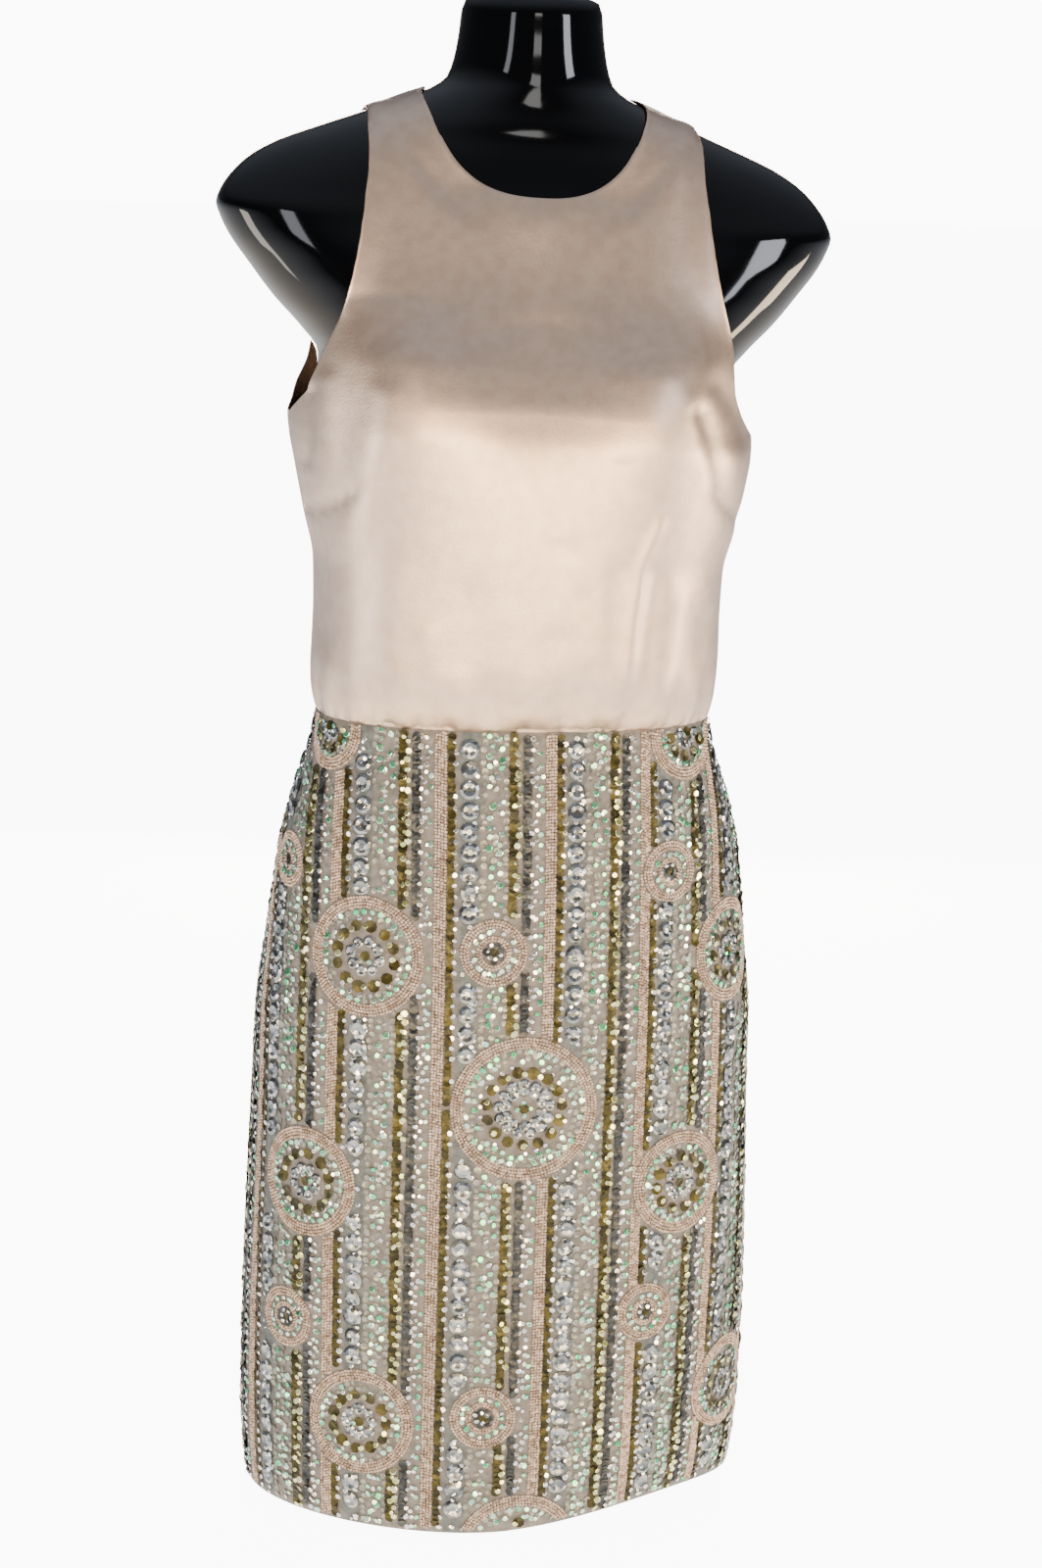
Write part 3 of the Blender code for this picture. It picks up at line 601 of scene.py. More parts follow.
def sheet_object(name, outer, normals, outside, inside):
    """A thin closed sheet under a grid of points, with a rounded edge, given in millimetres."""
    rows, columns = outer.shape[:2]
    count = rows * columns
    inner = outer - normals * SHEET
    edge = border(rows, columns)
    flat_outer, flat_inner = outer.reshape(-1, 3), inner.reshape(-1, 3)
    rim_outer = flat_outer[edge]
    along = np.roll(rim_outer, -1, 0) - np.roll(rim_outer, 1, 0)
    outward = unit(np.cross(along, normals.reshape(-1, 3)[edge]))
    rim = (rim_outer + flat_inner[edge]) / 2 + outward * SHEET * 0.4
    points = np.concatenate([flat_outer, flat_inner, rim])
    top = grid_faces(rows, columns, 0)
    under = grid_faces(rows, columns, count)[:, ::-1]
    after = np.roll(edge, -1)
    mid = 2 * count + np.arange(len(edge))
    mid_after = np.roll(mid, -1)
    upper = np.stack([edge, mid, mid_after, after], -1)
    lower = np.stack([mid, edge + count, after + count, mid_after], -1)
    made = new_object(name, points * MM, [top, upper, lower, under], [outside, inside])
    index = np.zeros(len(made.data.polygons), np.int32)
    index[len(top) + len(upper):] = 1
    made.data.polygons.foreach_set("material_index", index)
    return made


def edge_distance(points, edge):
    """How far each point of a grid is from the end of its row: edge is 0 or -1."""
    return np.linalg.norm(points - points[:, [edge]], axis=-1)


def seam_dip(distance):
    """The cloth turns in where it is sewn: how far it dips at that distance from the seam."""
    return 0.8 * np.exp(-(distance / 1.5) ** 2)


def near_line(points_2d, start, end):
    """Distance to a straight line and the share along it, for points seen in one view."""
    start, end = np.array(start, float), np.array(end, float)
    run = end - start
    share = np.clip(((points_2d - start) @ run) / (run @ run), 0, 1)
    gap = np.linalg.norm(points_2d - (start + share[..., None] * run), axis=-1)
    return gap, share


# ---- creases
# Creases seen from the front or from behind: half the width, how deep, and the points that each runs
# through (across, height). Below zero is a raised fold. Each is deepest at its first point.
FRONT_CREASES = (
    (3.4, 2.0, (-140, 752), (-142, 707)),
    (7.0, -1.0, (-131, 760), (-131, 690)),
    (17.0, 2.9, (-128, 722), (-129, 700), (-137, 655), (-130, 600)),
    (10.0, -1.2, (-97, 754), (-105, 706), (-117, 655), (-112, 600)),
    (15.0, -1.2, (-92, 640), (-90, 572)),
    (7.0, 1.6, (101, 746), (109, 726), (124, 688)),
    (8.0, -0.9, (92, 752), (110, 700)),
    (9.0, 1.5, (114, 764), (138, 734)),
    (11.0, -1.2, (128, 716), (128, 672)),
    (4.0, -1.4, (76, 677), (66, 653), (61, 612), (60, 558)),
    (6.5, 1.5, (76, 645), (72, 600), (71, 562)),
    (8.0, 0.9, (50, 648), (48, 566)),
    (9.0, -1.2, (95, 625), (88, 562)),
    (8.0, 1.2, (114, 610), (110, 556)),
    (5.0, 0.9, (14, 664), (22, 660)),
    (3.0, 0.5, (42, 716), (54, 715)),
    (5.0, 0.7, (30, 632), (36, 618)),
    (11.0, 1.0, (-40, 628), (-34, 560)),
    (9.0, -0.8, (-66, 606), (-64, 556)),
    (9.0, 0.8, (14, 604), (16, 556)),
    (21.0, 1.8, (-16, 740), (22, 738)),
    (6.0, 0.6, (-104, 786), (-60, 812)),
    (3.5, 0.6, (-130, 812), (-74, 815)),
    (6.0, 0.5, (-52, 790), (0, 800), (40, 792), (96, 768)),
    (7.0, 0.7, (52, 852), (34, 812)),
    (17.0, -2.2, (0, 858), (6, 814)),
)
BACK_CREASES = (
    (10.0, 1.6, (-96, 738), (-120, 690)),
    (10.0, 1.5, (96, 736), (122, 684)),
    (10.0, 1.0, (-60, 620), (-66, 560)),
    (11.0, 1.1, (52, 628), (60, 558)),
    (12.0, -1.1, (-104, 640), (-92, 566)),
    (12.0, -1.0, (98, 636), (90, 570)),
    (8.0, 0.8, (-24, 600), (-20, 556)),
    (8.0, 0.8, (22, 604), (26, 556)),
    (7.0, 0.5, (-78, 838), (-44, 850)),
    (7.0, 0.5, (74, 846), (40, 852)),
)
# The bust darts are sewn from the side seam towards the bust, as seen from the front.
DARTS = (((-139, 676), (-113, 694)), ((139, 674), (116, 694)))
PUCKER_SPACING = 9.0    # along the waist seam
WAIST_RADIUS = 115      # of the round that the puckers are counted on


def crease_field(points, creases):
    """How far the creases lower the cloth."""
    seen = points[..., [0, 2]]
    lowered = np.zeros(points.shape[:2])
    for width, depth, *path in creases:
        nearest = np.full(points.shape[:2], 1e9)
        along = np.zeros(points.shape[:2])
        for k, (start, end) in enumerate(zip(path, path[1:])):
            gap, share = near_line(seen, start, end)
            along = np.where(gap < nearest, (k + share) / (len(path) - 1), along)
            nearest = np.minimum(gap, nearest)
        lowered += depth * np.exp(-(nearest / width) ** 2) * (1 - 0.45 * along)
    return lowered


def dart_field(points, meets):
    """How far the bust darts lower the cloth: a sewn line in a wider hollow."""
    lowered = np.zeros(points.shape[:2])
    for start, end in DARTS:
        gap, share = near_line(points[..., [0, 2]], start, end)
        lowered += np.exp(-(gap / 1.5) ** 2) * (1 - 0.4 * share) * 1.3
        lowered += np.exp(-(gap / 8) ** 2) * 0.9 * meets
    return lowered


def pucker_field(angle, height, seed):
    """Short uneven puckers at the waist seam: raised and sunk over 5 to 20 mm above it."""
    draw = np.random.default_rng(seed)
    lowered = np.zeros(np.broadcast(angle, height).shape)
    count = int(2 * HALF_TURN * WAIST_RADIUS / PUCKER_SPACING)
    above = np.clip(height - WAIST_HEIGHT, 0, None)
    for k in range(count):
        middle = -HALF_TURN + 2 * HALF_TURN * (k + draw.uniform(0.2, 0.8)) / count
        wide = draw.uniform(0.012, 0.028)
        tall = draw.uniform(5, 20)
        deep = draw.uniform(0.8, 2.0) * draw.choice([-0.6, 1.0])
        turn = (np.asarray(angle) - middle + HALF_TURN) % (2 * HALF_TURN) - HALF_TURN
        lowered += deep * np.exp(-(turn / wide) ** 2) * np.exp(-(above / tall) ** 2)
    return lowered * smooth_step(0.0, 3.0, height - WAIST_HEIGHT)


def slow_swell(angle, height, seed):
    """A faint unevenness of hanging cloth, about 60 to 120 mm across."""
    draw = np.random.default_rng(seed)
    swell = np.zeros(np.broadcast(angle, height).shape)
    for _ in range(7):
        turns, rise, shift = draw.uniform(2, 7), draw.uniform(-0.02, 0.02), draw.uniform(0, 6)
        swell += np.sin(turns * angle + rise * height + shift) * draw.uniform(0.1, 0.3)
    return swell


# ---- the bodice's cloth
# Rows of points: close at the gathers, even through the body, close again round the underarm.
BODICE_POSITIONS = np.concatenate([
    np.linspace(0, 1.6, 24, endpoint=False), np.linspace(1.6, 9, 56, endpoint=False),
    9 + np.linspace(0, 1, 18, endpoint=False) ** 1.15, np.linspace(10, 14, 34, endpoint=False),
    np.linspace(14, 17, 18)])
EDGE_STEPS = np.array([0, 0.8, 1.6, 2.6, 4.0, 6.0])     # columns beside a panel's edge
EDGE_END = 8.5          # where the even columns start
PANEL_WIDTHS = {"front": 340, "left": 170, "right": 170}
# The armhole edges on a panel's first and last column.
PANEL_ARMHOLES = {"front": ("front_right", "front_left"), "left": ("back", None), "right": (None, "back")}


def edge_shares(columns, width):
    """Shares across a panel about that wide in millimetres, closer together beside its edges."""
    edge = EDGE_STEPS / width
    inner = np.linspace(EDGE_END / width, 1 - EDGE_END / width, columns - 2 * len(edge))
    return np.concatenate([edge, inner, 1 - edge[::-1]])


def panel_grid(side, columns):
    """Angles and settled points of a bodice panel, rows upward and columns to the wearer's left."""
    places = BODICE_POSITIONS
    near = np.exp(-((places[:, None] - places[None, :]) / 0.45) ** 2) * np.gradient(places)
    near = near / near.sum(axis=1, keepdims=True)
    trim = (SEAM_GAP / 2 / ring_value(BODICE_RINGS, "half_width", places))[:, None]
    share = edge_shares(columns, PANEL_WIDTHS[side])[None, :]
    first, last = ((armhole_reach(places, name) if name else np.zeros(len(places)))[:, None] - trim
                   for name in PANEL_ARMHOLES[side])
    along = {"front": 2 * share - 1, "left": share - 1, "right": share}[side]
    # the columns beside an armhole follow its edge, and those further in follow it only roughly
    true = np.where(along < 0, first, last) * along
    rough = np.where(along < 0, near @ first, near @ last) * along
    angle = rough + (true - rough) * np.abs(along) ** 5
    if side != "front":
        from_seam = np.where(np.abs(along) < 1e-9, trim, 0)
        angle = HALF_TURN + angle + from_seam * (-1 if side == "left" else 1)
    return angle, settled(BODICE_RINGS, angle, np.broadcast_to(places[:, None], angle.shape), 40)


def near_seam(base, edge, has_armhole):
    """1 beside a panel's sewn edge, fading to 0 at 13 mm from it; an armhole's edge isn't sewn."""
    if not has_armhole:
        return 1 - smooth_step(1, 13, edge_distance(base, edge))
    line = base[:, [edge]]
    low, high = (int(np.searchsorted(BODICE_POSITIONS, ring)) for ring in (UNDERARM_RING, SHOULDER_RING))
    under, over = line.copy(), line.copy()
    under[low:] = line[low]
    over[:high] = line[high]
    gaps = [np.linalg.norm(base - part, axis=-1) for part in (under, over)]
    return 1 - smooth_step(1, 13, np.minimum(*gaps))


# How far the sheet may sink, at heights up the bodice: only as far as it has room over the form.
SINK_HEIGHTS = (542, 556, 600, 700, 780, 850, 941)
SINK_DEPTHS = (1.5, 3.0, 5.0, 5.5, 4.0, 1.4, 0.5)
MOST_RAISED = 3.0


def bodice_panel(side, columns, creases):
    """One bodice panel's sheet, and the points of its outer face."""
    angle, base = panel_grid(side, columns)
    place = np.broadcast_to(BODICE_POSITIONS[:, None], angle.shape)
    low, high = np.clip(place - 0.02, 0, None), np.clip(place + 0.02, None, len(BODICE_RINGS) - 1)
    free = free_normals(BODICE_RINGS, angle, place, low, high)
    settled_normals = unit(np.cross(np.gradient(base, axis=1), np.gradient(base, axis=0)))
    # above the underarm the cloth lies on the form, so its normals follow that
    resting = smooth_step(10.5, 11.5, place)[..., None]
    normals = unit(free + (softened(settled_normals, 3) - free) * resting)
    height = base[..., 2]
    armholes = [name is not None for name in PANEL_ARMHOLES[side]]
    # folds die away beside a seam, where both panels have to meet
    meets = (1 - near_seam(base, 0, armholes[0])) * (1 - near_seam(base, -1, armholes[1]))
    lowered = crease_field(base, creases) * meets + pucker_field(angle, height, 11)
    lowered += slow_swell(angle, height, 5) * smooth_step(560, 600, height) * (
        1 - smooth_step(740, 800, height))
    if side == "front":
        lowered += dart_field(base, meets)
    lowered = np.clip(lowered, -MOST_RAISED, np.interp(height, SINK_HEIGHTS, SINK_DEPTHS))
    # an edge with an armhole is sewn below the underarm and above the shoulder, the others all along
    under_arm, over_shoulder = (smooth_step(ring - 0.02, ring + 0.02, BODICE_POSITIONS)[:, None]
                                for ring in (UNDERARM_RING, SHOULDER_RING))
    for edge, has_armhole in zip((0, -1), armholes):
        sewn = 1 - under_arm + over_shoulder if has_armhole else 1
        lowered = lowered + seam_dip(edge_distance(base, edge)) * sewn
    normals[0] = unit(normals[0] * [1, 1, 0])
    outer = base + normals * (BODICE_CLOTH - lowered)[..., None]
    # the inner faces take the crepe's back, darkened as painted shade
    return sheet_object("bodice_" + SIDES[side] + "_cloth", outer, normals, CREPE, FACING_PAINTED_SHADE), outer


SIDES = {"front": "front", "left": "back_left", "right": "back_right"}    # as the pieces' names say
bodice = {"front": bodice_panel("front", 136, FRONT_CREASES),
          "left": bodice_panel("left", 60, BACK_CREASES),
          "right": bodice_panel("right", 60, BACK_CREASES)}


# ---- the skirt's cloth
HEM, SKIRT_TOP = SKIRT_RINGS[0][0], SKIRT_RINGS[-1][0]
SKIRT_LAST = len(SKIRT_RINGS) - 1
FINE_POSITIONS = np.linspace(0, SKIRT_LAST, 1301)
FINE_HEIGHTS = ring_value(SKIRT_RINGS, "z_back", FINE_POSITIONS)


def skirt_position(height):
    return np.interp(height, FINE_HEIGHTS, FINE_POSITIONS)


def skirt_swell(angle, height):
    """Soft unevenness of the beaded cloth, which is heavy and hangs almost straight."""
    return slow_swell(angle, height, 8) * smooth_step(0, 60, height) * (
        1 - smooth_step(500, 535, height)) * 1.3


def skirt_face(angle, height):
    """Points on the skirt's outer face and its normals."""
    low, high = np.clip(height - 1, HEM, None), np.clip(height + 1, None, SKIRT_TOP)
    place, low, high = skirt_position(height), skirt_position(low), skirt_position(high)
    normals = free_normals(SKIRT_RINGS, angle, place, low, high)
    lift = normals * (SKIRT_CLOTH - skirt_swell(angle, height))[..., None]
    return cloth(SKIRT_RINGS, angle, place) + lift, normals


def skirt_panel(side, columns, rows=90):
    """One skirt panel's sheet, and the angle and height of each point of it."""
    heights = np.linspace(HEM, SKIRT_TOP, rows)
    trim = (SEAM_GAP / 2 / ring_value(SKIRT_RINGS, "half_width", skirt_position(heights)))[:, None]
    first, last = {"front": (-HALF_TURN / 2, HALF_TURN / 2), "left": (HALF_TURN / 2, HALF_TURN),
                   "right": (HALF_TURN, 1.5 * HALF_TURN)}[side]
    share = np.linspace(0, 1, columns)[None, :]
    angle = first + trim + (last - first - 2 * trim) * share
    height = np.broadcast_to(heights[:, None], angle.shape)
    points, normals = skirt_face(angle, height)
    dip = seam_dip(edge_distance(points, 0)) + seam_dip(edge_distance(points, -1))
    normals[-1] = unit(normals[-1] * [1, 1, 0])
    points = points - normals * dip[..., None]
    return sheet_object("skirt_" + SIDES[side] + "_cloth", points, normals, NET, LINING), angle, height


skirt = {"front": skirt_panel("front", 150),
         "left": skirt_panel("left", 76),
         "right": skirt_panel("right", 76)}


# ---- where beads lie on the skirt
LEVELS = np.linspace(HEM, SKIRT_TOP, 91)
SHARES = np.linspace(0, 1, 401)
TURNS = np.linspace(0, 1, 721)


def arc_tables():
    """For each level: the panel's half width along the cloth, and the angle at each share of it."""
    tables = {}
    for side, start in (("front", 0.0), ("back", HALF_TURN)):
        angles = start + (HALF_TURN / 2 - start) * TURNS
        grid = len(LEVELS), len(TURNS)
        points, _ = skirt_face(np.broadcast_to(angles, grid), np.broadcast_to(LEVELS[:, None], grid))
        run = np.linalg.norm(np.diff(points, axis=1), axis=-1)
        arc = np.concatenate([np.zeros((len(LEVELS), 1)), np.cumsum(run, axis=1)], axis=1)
        turned = np.stack([np.interp(SHARES * row[-1], row, np.abs(angles - start)) for row in arc])
        tables[side] = (arc[:, -1], turned)
    return {"front": tables["front"], "left": tables["back"], "right": tables["back"]}


ARCS = arc_tables()


def on_skirt(across, height, side):
    """Angle round the figure of a spot that lies that far from the panel's centre line."""
    lengths, turned = ARCS[side]
    level = np.clip((height - LEVELS[0]) / (LEVELS[1] - LEVELS[0]), 0, len(LEVELS) - 1.001)
    k = level.astype(int)
    part = level - k
    length = lengths[k] * (1 - part) + lengths[k + 1] * part
    share = np.clip(np.abs(across) / length, 0, 1) * (len(SHARES) - 1)
    m = np.minimum(share.astype(int), len(SHARES) - 2)
    rest = share - m
    low, high = (turned[row, m] * (1 - rest) + turned[row, m + 1] * rest for row in (k, k + 1))
    turn = np.sign(across) * (low * (1 - part) + high * part)
    return turn if side == "front" else HALF_TURN - turn, length


# ---- beads and sequins
SEED_BEAD = turned_shape(((0, -0.42), (0.5, 0.0), (0, 0.42)), 5)
CUPPED_SEQUIN = turned_shape(((0, -0.10), (0.5, 0.04), (0, -0.02)), 8)
FLAT_SEQUIN = turned_shape(((0, -0.05), (0.5, 0.0), (0.38, 0.08), (0, 0.08)), 7)
PAILLETTE = turned_shape(((0, -0.05), (0.5, 0.0), (0.34, 0.085), (0.14, 0.03), (0, 0.03)), 12)


class Trim:
    """Collects spots for one kind of bead or sequin, and joins them into one mesh a panel.

    Lift is how far each stands off the cloth. Tilt and nod are in degrees: how far each tilts at
    random, and how far all of the kind lean back at the hem, as the cloth lets them hang.
    """

    def __init__(self, name, shape, used, lift, tilt, nod=0):
        self.name, self.shape, self.used, self.lift = name, shape, used, lift
        self.tilt, self.nod = tilt, nod
        self.spots = {side: [] for side in SIDES}

    def lay(self, side, across, height, size):
        size = np.broadcast_to(size, across.shape)
        self.spots[side].append(np.stack([across, height, size], -1))

    def join(self, side, seed):
        """All of this kind on one panel, each turned and tilted a little, as one mesh."""
        spots = np.concatenate(self.spots[side])
        draw = np.random.default_rng(seed)
        across, height, size = spots.T
        angle, _ = on_skirt(-across if side == "right" else across, height, side)
        points, normals = skirt_face(angle, height)
        sideways = unit(np.cross([0, 0, 1.0], normals))
        upward = np.cross(normals, sideways)
        spin = draw.uniform(0, 2 * HALF_TURN, len(spots))[:, None]
        tipped = np.radians(self.tilt) * draw.normal(0, 0.6, (2, len(spots)))
        tipped[1] += np.radians(np.interp(height, (0, WAIST_HEIGHT), (self.nod, 0)))
        tipped = np.tan(tipped)[..., None]
        facing = unit(normals + sideways * tipped[0] + upward * tipped[1])
        first = unit(np.cross(upward, facing))
        second = np.cross(facing, first)
        right = first * np.cos(spin) + second * np.sin(spin)
        turns = np.stack([right, np.cross(facing, right), facing], -1) * size[:, None, None]
        return scattered(self.name + "_" + SIDES[side], self.shape, points + normals * self.lift, turns,
                         self.used, self.shape is SEED_BEAD)


TRIMS = {
    "pink": Trim("pink_seed_beads", SEED_BEAD, PINK_GLASS, 0.7, 10),
    "slate": Trim("slate_sequins", CUPPED_SEQUIN, SLATE_FILM, 0.9, 16),
    "clear": Trim("clear_beads_and_painted_glints", FLAT_SEQUIN, CLEAR_GLASS_AND_GLINTS, 1.2, 17, 4),
    "olive": Trim("olive_sequins", CUPPED_SEQUIN, OLIVE_FOIL, 1.0, 15),
    "gold": Trim("gold_painted_highlights", FLAT_SEQUIN, GOLD_HIGHLIGHT_FOIL, 1.6, 18, 4),
    "silver": Trim("silver_paillettes", PAILLETTE, SILVER_FOIL, 1.1, 9),
    "mint": Trim("mint_sequins", FLAT_SEQUIN, MINT_FILM, 1.3, 18, 4),
    "lilac": Trim("lilac_sequins", CUPPED_SEQUIN, LILAC_FILM, 0.7, 14),
}

REPEAT = 70.0
PINK_PITCH = 2.05       # between the beads of a striped row, and between a medallion's pink rings
PINK_BEAD = 2.5
# One repeat of the stripes, drawn 70 mm wide: the kind of bead or sequin, how far its row lies from
# the repeat's start, the spacing along the row, its size, how far it strays, and the share missing.
STRIPES = (
    *(("pink", across, PINK_PITCH, PINK_BEAD, 0.25, 0) for across in (1.1, 3.1, 5.1, 7.1)),
    ("olive", 10.8, 3.5, 5.4, 0.3, 0),
    # clear beads beside the olive, round the paillettes and beside the slate are beads and painted glints
    # both
    ("clear", 13.4, 7, 3.6, 0.5, 0.06),
    ("silver", 22.3, 13, 12.2, 0.4, 0),
    ("clear", 24.4, 4.2, 3.4, 3.2, 0.15),
    ("clear", 21, 6.5, 3, 2.6, 0.35),
    ("lilac", 31, 4.6, 4.2, 1.1, 0.1),
    ("mint", 35.4, 6.3, 4.2, 1.2, 0.2),
    ("lilac", 38, 4.8, 4, 1.3, 0.12),
    ("clear", 39.5, 8, 3.2, 1.6, 0.25),
    ("mint", 42.2, 6.6, 4.2, 1.4, 0.25),
    ("lilac", 45.2, 4.8, 3.8, 0.9, 0.2),
    ("olive", 49.8, 4, 6.4, 0.4, 0),
    # pale gold pieces beside the olive row: painted highlights of its sequins
    ("gold", 53, 6.4, 4.4, 1, 0.12),
    ("gold", 50.6, 8.5, 3.6, 1.2, 0.3),
    ("slate", 58.6, 2.7, 6.2, 0.3, 0),
    ("clear", 61.6, 6.6, 3.3, 0.6, 0.12),
    ("clear", 64.8, 5.6, 3.2, 1, 0.22),
    ("mint", 67.6, 7.2, 3.6, 0.8, 0.25),
)
STRIPE_LOW, STRIPE_TOP = 9.5, 541.5
# Where the repeats start, across from the centre line of the front and of the back.
FRONT_STARTS = (-270, -200, -130, -60, 11, 75, 135, 197, 260)
BACK_STARTS = (-58, 12, 80, 150, 221, 292)
SMOKE_BAND = (15.5, 29.5)       # the net is smoke grey under the silver paillettes

# Medallions: how far across from the centre line, height, and radius.
FRONT_MEDALLIONS = (
    (-104, 396, 39), (1, 300, 48), (-144, 241, 37), (111, 243, 35), (-102, 81, 37),
    (168, 86, 36), (153, 393, 34), (113, 538, 31), (-138, 537, 28), (4, -9, 41),
    (-21, 402, 22), (97, 451, 20), (-159, 144, 21), (88, 157, 20), (-20, 89, 22), (-172, 448, 18),
)
BACK_MEDALLIONS = (
    (62, 420, 36), (138, 300, 36), (52, 236, 33), (120, 120, 33), (40, 60, 36), (130, 500, 27),
    (150, 200, 20), (96, 360, 20), (28, 340, 22), (88, 186, 20), (160, 60, 21), (24, 500, 20),
)
BIG, WIDEST = 24, 40    # the radii over which a medallion has olive sequins, and two silver rings


def free_of(across, height, medallions, margin):
    keep = np.ones(across.shape, bool)
    for x, z, radius in medallions:
        keep &= np.hypot(across - x, height - z) > radius + margin
    return keep


def on_panel(across, height, side, size):
    """Which spots lie whole on the panel, clear of its seams, the waist and the hem."""
    _, length = on_skirt(across, height, side)
    keep = (np.abs(across) < length - size * 0.55) & (height < STRIPE_TOP - size * 0.3)
    keep &= height > HEM + 1.5 + size * 0.5
    return keep & ((side == "front") | (across > size * 0.55 + 0.4))


def shade_bands(side, starts, medallions):
    """Marks on the cloth's points where the net is smoke grey."""
    panel, angle, height = skirt[side]
    lengths, turned = ARCS[side]
    from_centre = np.abs(angle) if side == "front" else np.abs(HALF_TURN - angle)
    level = np.clip(np.round((height - LEVELS[0]) / (LEVELS[1] - LEVELS[0])).astype(int), 0,
                    len(LEVELS) - 1)
    across = np.empty(angle.shape)
    for row, k in enumerate(level[:, 0]):
        across[row] = np.interp(from_centre[row], turned[k], SHARES) * lengths[k]
    if side == "front":
        across *= np.sign(angle)
    smoke = np.zeros(angle.shape)
    for start, end in zip(starts, starts[1:]):
        stretch = (end - start) / REPEAT
        low, high = (start + edge * stretch for edge in SMOKE_BAND)
        smoke += smooth_step(low - 1, low + 1, across) * (1 - smooth_step(high - 1, high + 1, across))
    smoke *= free_of(across, height, medallions, -3)
    values = np.zeros(len(panel.data.vertices), np.float32)
    values[:smoke.size] = smoke.ravel()
    panel.data.attributes.new("smoke", "FLOAT", "POINT").data.foreach_set("value", values)


def lay_stripes(side, starts, medallions, draw):
    for start, end in zip(starts, starts[1:]):
        stretch = (end - start) / REPEAT
        for kind, offset, spacing, size, stray, missing in STRIPES:
            height = np.arange(STRIPE_LOW, STRIPE_TOP, spacing) + draw.uniform(0, min(spacing, 2))
            count = len(height)
            across = start + offset * stretch + draw.uniform(-stray, stray, count)
            height = height + draw.uniform(-stray, stray, count) * 0.7
            spread = 0.08 if stray < 0.5 else 0.22
            sizes = size * draw.uniform(1 - spread, 1 + spread, count)
            keep = draw.uniform(0, 1, count) >= missing
            keep &= free_of(across, height, medallions, size * 0.35)
            keep &= on_panel(across, height, side, size)
            TRIMS[kind].lay(side, across[keep], height[keep], sizes[keep])


def lay_ring(kind, side, centre, radius, spacing, size, missing, stray, draw):
    count = max(3, round(2 * HALF_TURN * radius / spacing))
    angle = np.arange(count) * 2 * HALF_TURN / count + draw.uniform(0, 1)
    reach = radius + draw.uniform(-stray, stray, count)
    across = centre[0] + reach * np.cos(angle)
    height = centre[1] + reach * np.sin(angle)
    keep = draw.uniform(0, 1, count) >= missing
    keep &= on_panel(across, height, side, size)
    sizes = size * draw.uniform(0.92, 1.08, count)
    TRIMS[kind].lay(side, across[keep], height[keep], sizes[keep])


def pink_rings(radius, count):
    return [("pink", radius - 1.2 - PINK_PITCH * row, 2.1, PINK_BEAD, 0, 0.15) for row in range(count)]


def medallion_rings(radius):
    """Rings of a medallion: kind, radius, spacing, size, share missing, and how far it strays."""
    if radius < BIG:
        return pink_rings(radius, 3) + [
            ("mint", radius - 8.6, 5.6, 3.8, 0.2, 0.9),
            ("clear", radius - 8.2, 6.8, 3.0, 0.2, 1.0),
            ("pink", radius - 11.6, 2.1, PINK_BEAD, 0, 0.2),
            ("pink", radius - 13.4, 2.1, PINK_BEAD, 0, 0.2),
            ("slate", 4.6, 4.0, 5.4, 0, 0.3),
            ("clear", 4.4, 4.6, 3.0, 0.25, 1.2)]
    olive, middle = radius * 0.51, radius * 0.25
    rings = pink_rings(radius, 4) + [
        ("mint", radius - 10.4, 5.6, 4.2, 0.25, 0.9),
        ("lilac", radius - 9.6, 5.0, 3.8, 0.1, 0.9),
        ("lilac", radius - 13.4, 5.0, 3.8, 0.2, 0.9),
        ("olive", olive, 10.4, 8.0, 0, 0.3),
        # pale gold beside the olive ring: painted highlights of its sequins
        ("gold", olive - 0.6, 10.4, 4.4, 0.15, 1.0),
        # clear beads beside the olive ring and on the silver ring: beads and painted glints both
        ("clear", olive + 4.4, 7.0, 3.1, 0.25, 1.1),
        ("silver", middle, 7.4, 7.6, 0, 0.4),
        ("clear", middle, 4.4, 3.2, 0.25, 2.0),
        ("mint", 4.4, 7.0, 3.4, 0.2, 0.4)]
    if radius > WIDEST:
        rings += [("mint", radius - 15.5, 6.2, 4.2, 0.3, 0.9), ("silver", middle + 4.6, 8.0, 7.6, 0, 0.5)]
    return rings


def lay_medallion(side, x, z, radius, draw):
    """Rings of pink beads round a field of film sequins, and an olive sequin in the middle."""
    for kind, *ring in medallion_rings(radius):
        lay_ring(kind, side, (x, z), *ring, draw)
    spot = np.array([float(x)]), np.array([float(z)])
    if on_panel(*spot, side, 6.4)[0]:
        TRIMS["olive"].lay(side, *spot, 6.8)


def lay_panel(side, starts, medallions, seed):
    draw = np.random.default_rng(seed)
    shade_bands(side, starts, medallions)
    lay_stripes(side, starts, medallions, draw)
    for place in medallions:
        lay_medallion(side, *place, draw)


lay_panel("front", FRONT_STARTS, FRONT_MEDALLIONS, 21)
lay_panel("left", BACK_STARTS, BACK_MEDALLIONS, 22)
lay_panel("right", BACK_STARTS, BACK_MEDALLIONS, 23)

trimmings = {side: [] for side in SIDES}
for number, trim in enumerate(TRIMS.values()):
    for side in SIDES:
        trimmings[side].append(trim.join(side, 100 + number))


def declare(piece, node):
    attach(piece, "dress")
    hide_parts(node)


for side, end in SIDES.items():
    declare(bodice[side][0], "bodice_" + end)
for side, end in SIDES.items():
    declare(skirt[side][0], "skirt_" + end)

# ---- the form
BASE_RING = np.arange(FORM_SIDES)[::-1][None, :]
TOP_RING = (np.arange(FORM_SIDES) + len(FORM_POINTS) - FORM_SIDES)[None, :]
form = new_object("dress_form_shell", FORM_POINTS * MM, [FORM_FACES, BASE_RING, TOP_RING], LACQUER)
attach(form, "dress")
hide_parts("dress_form")

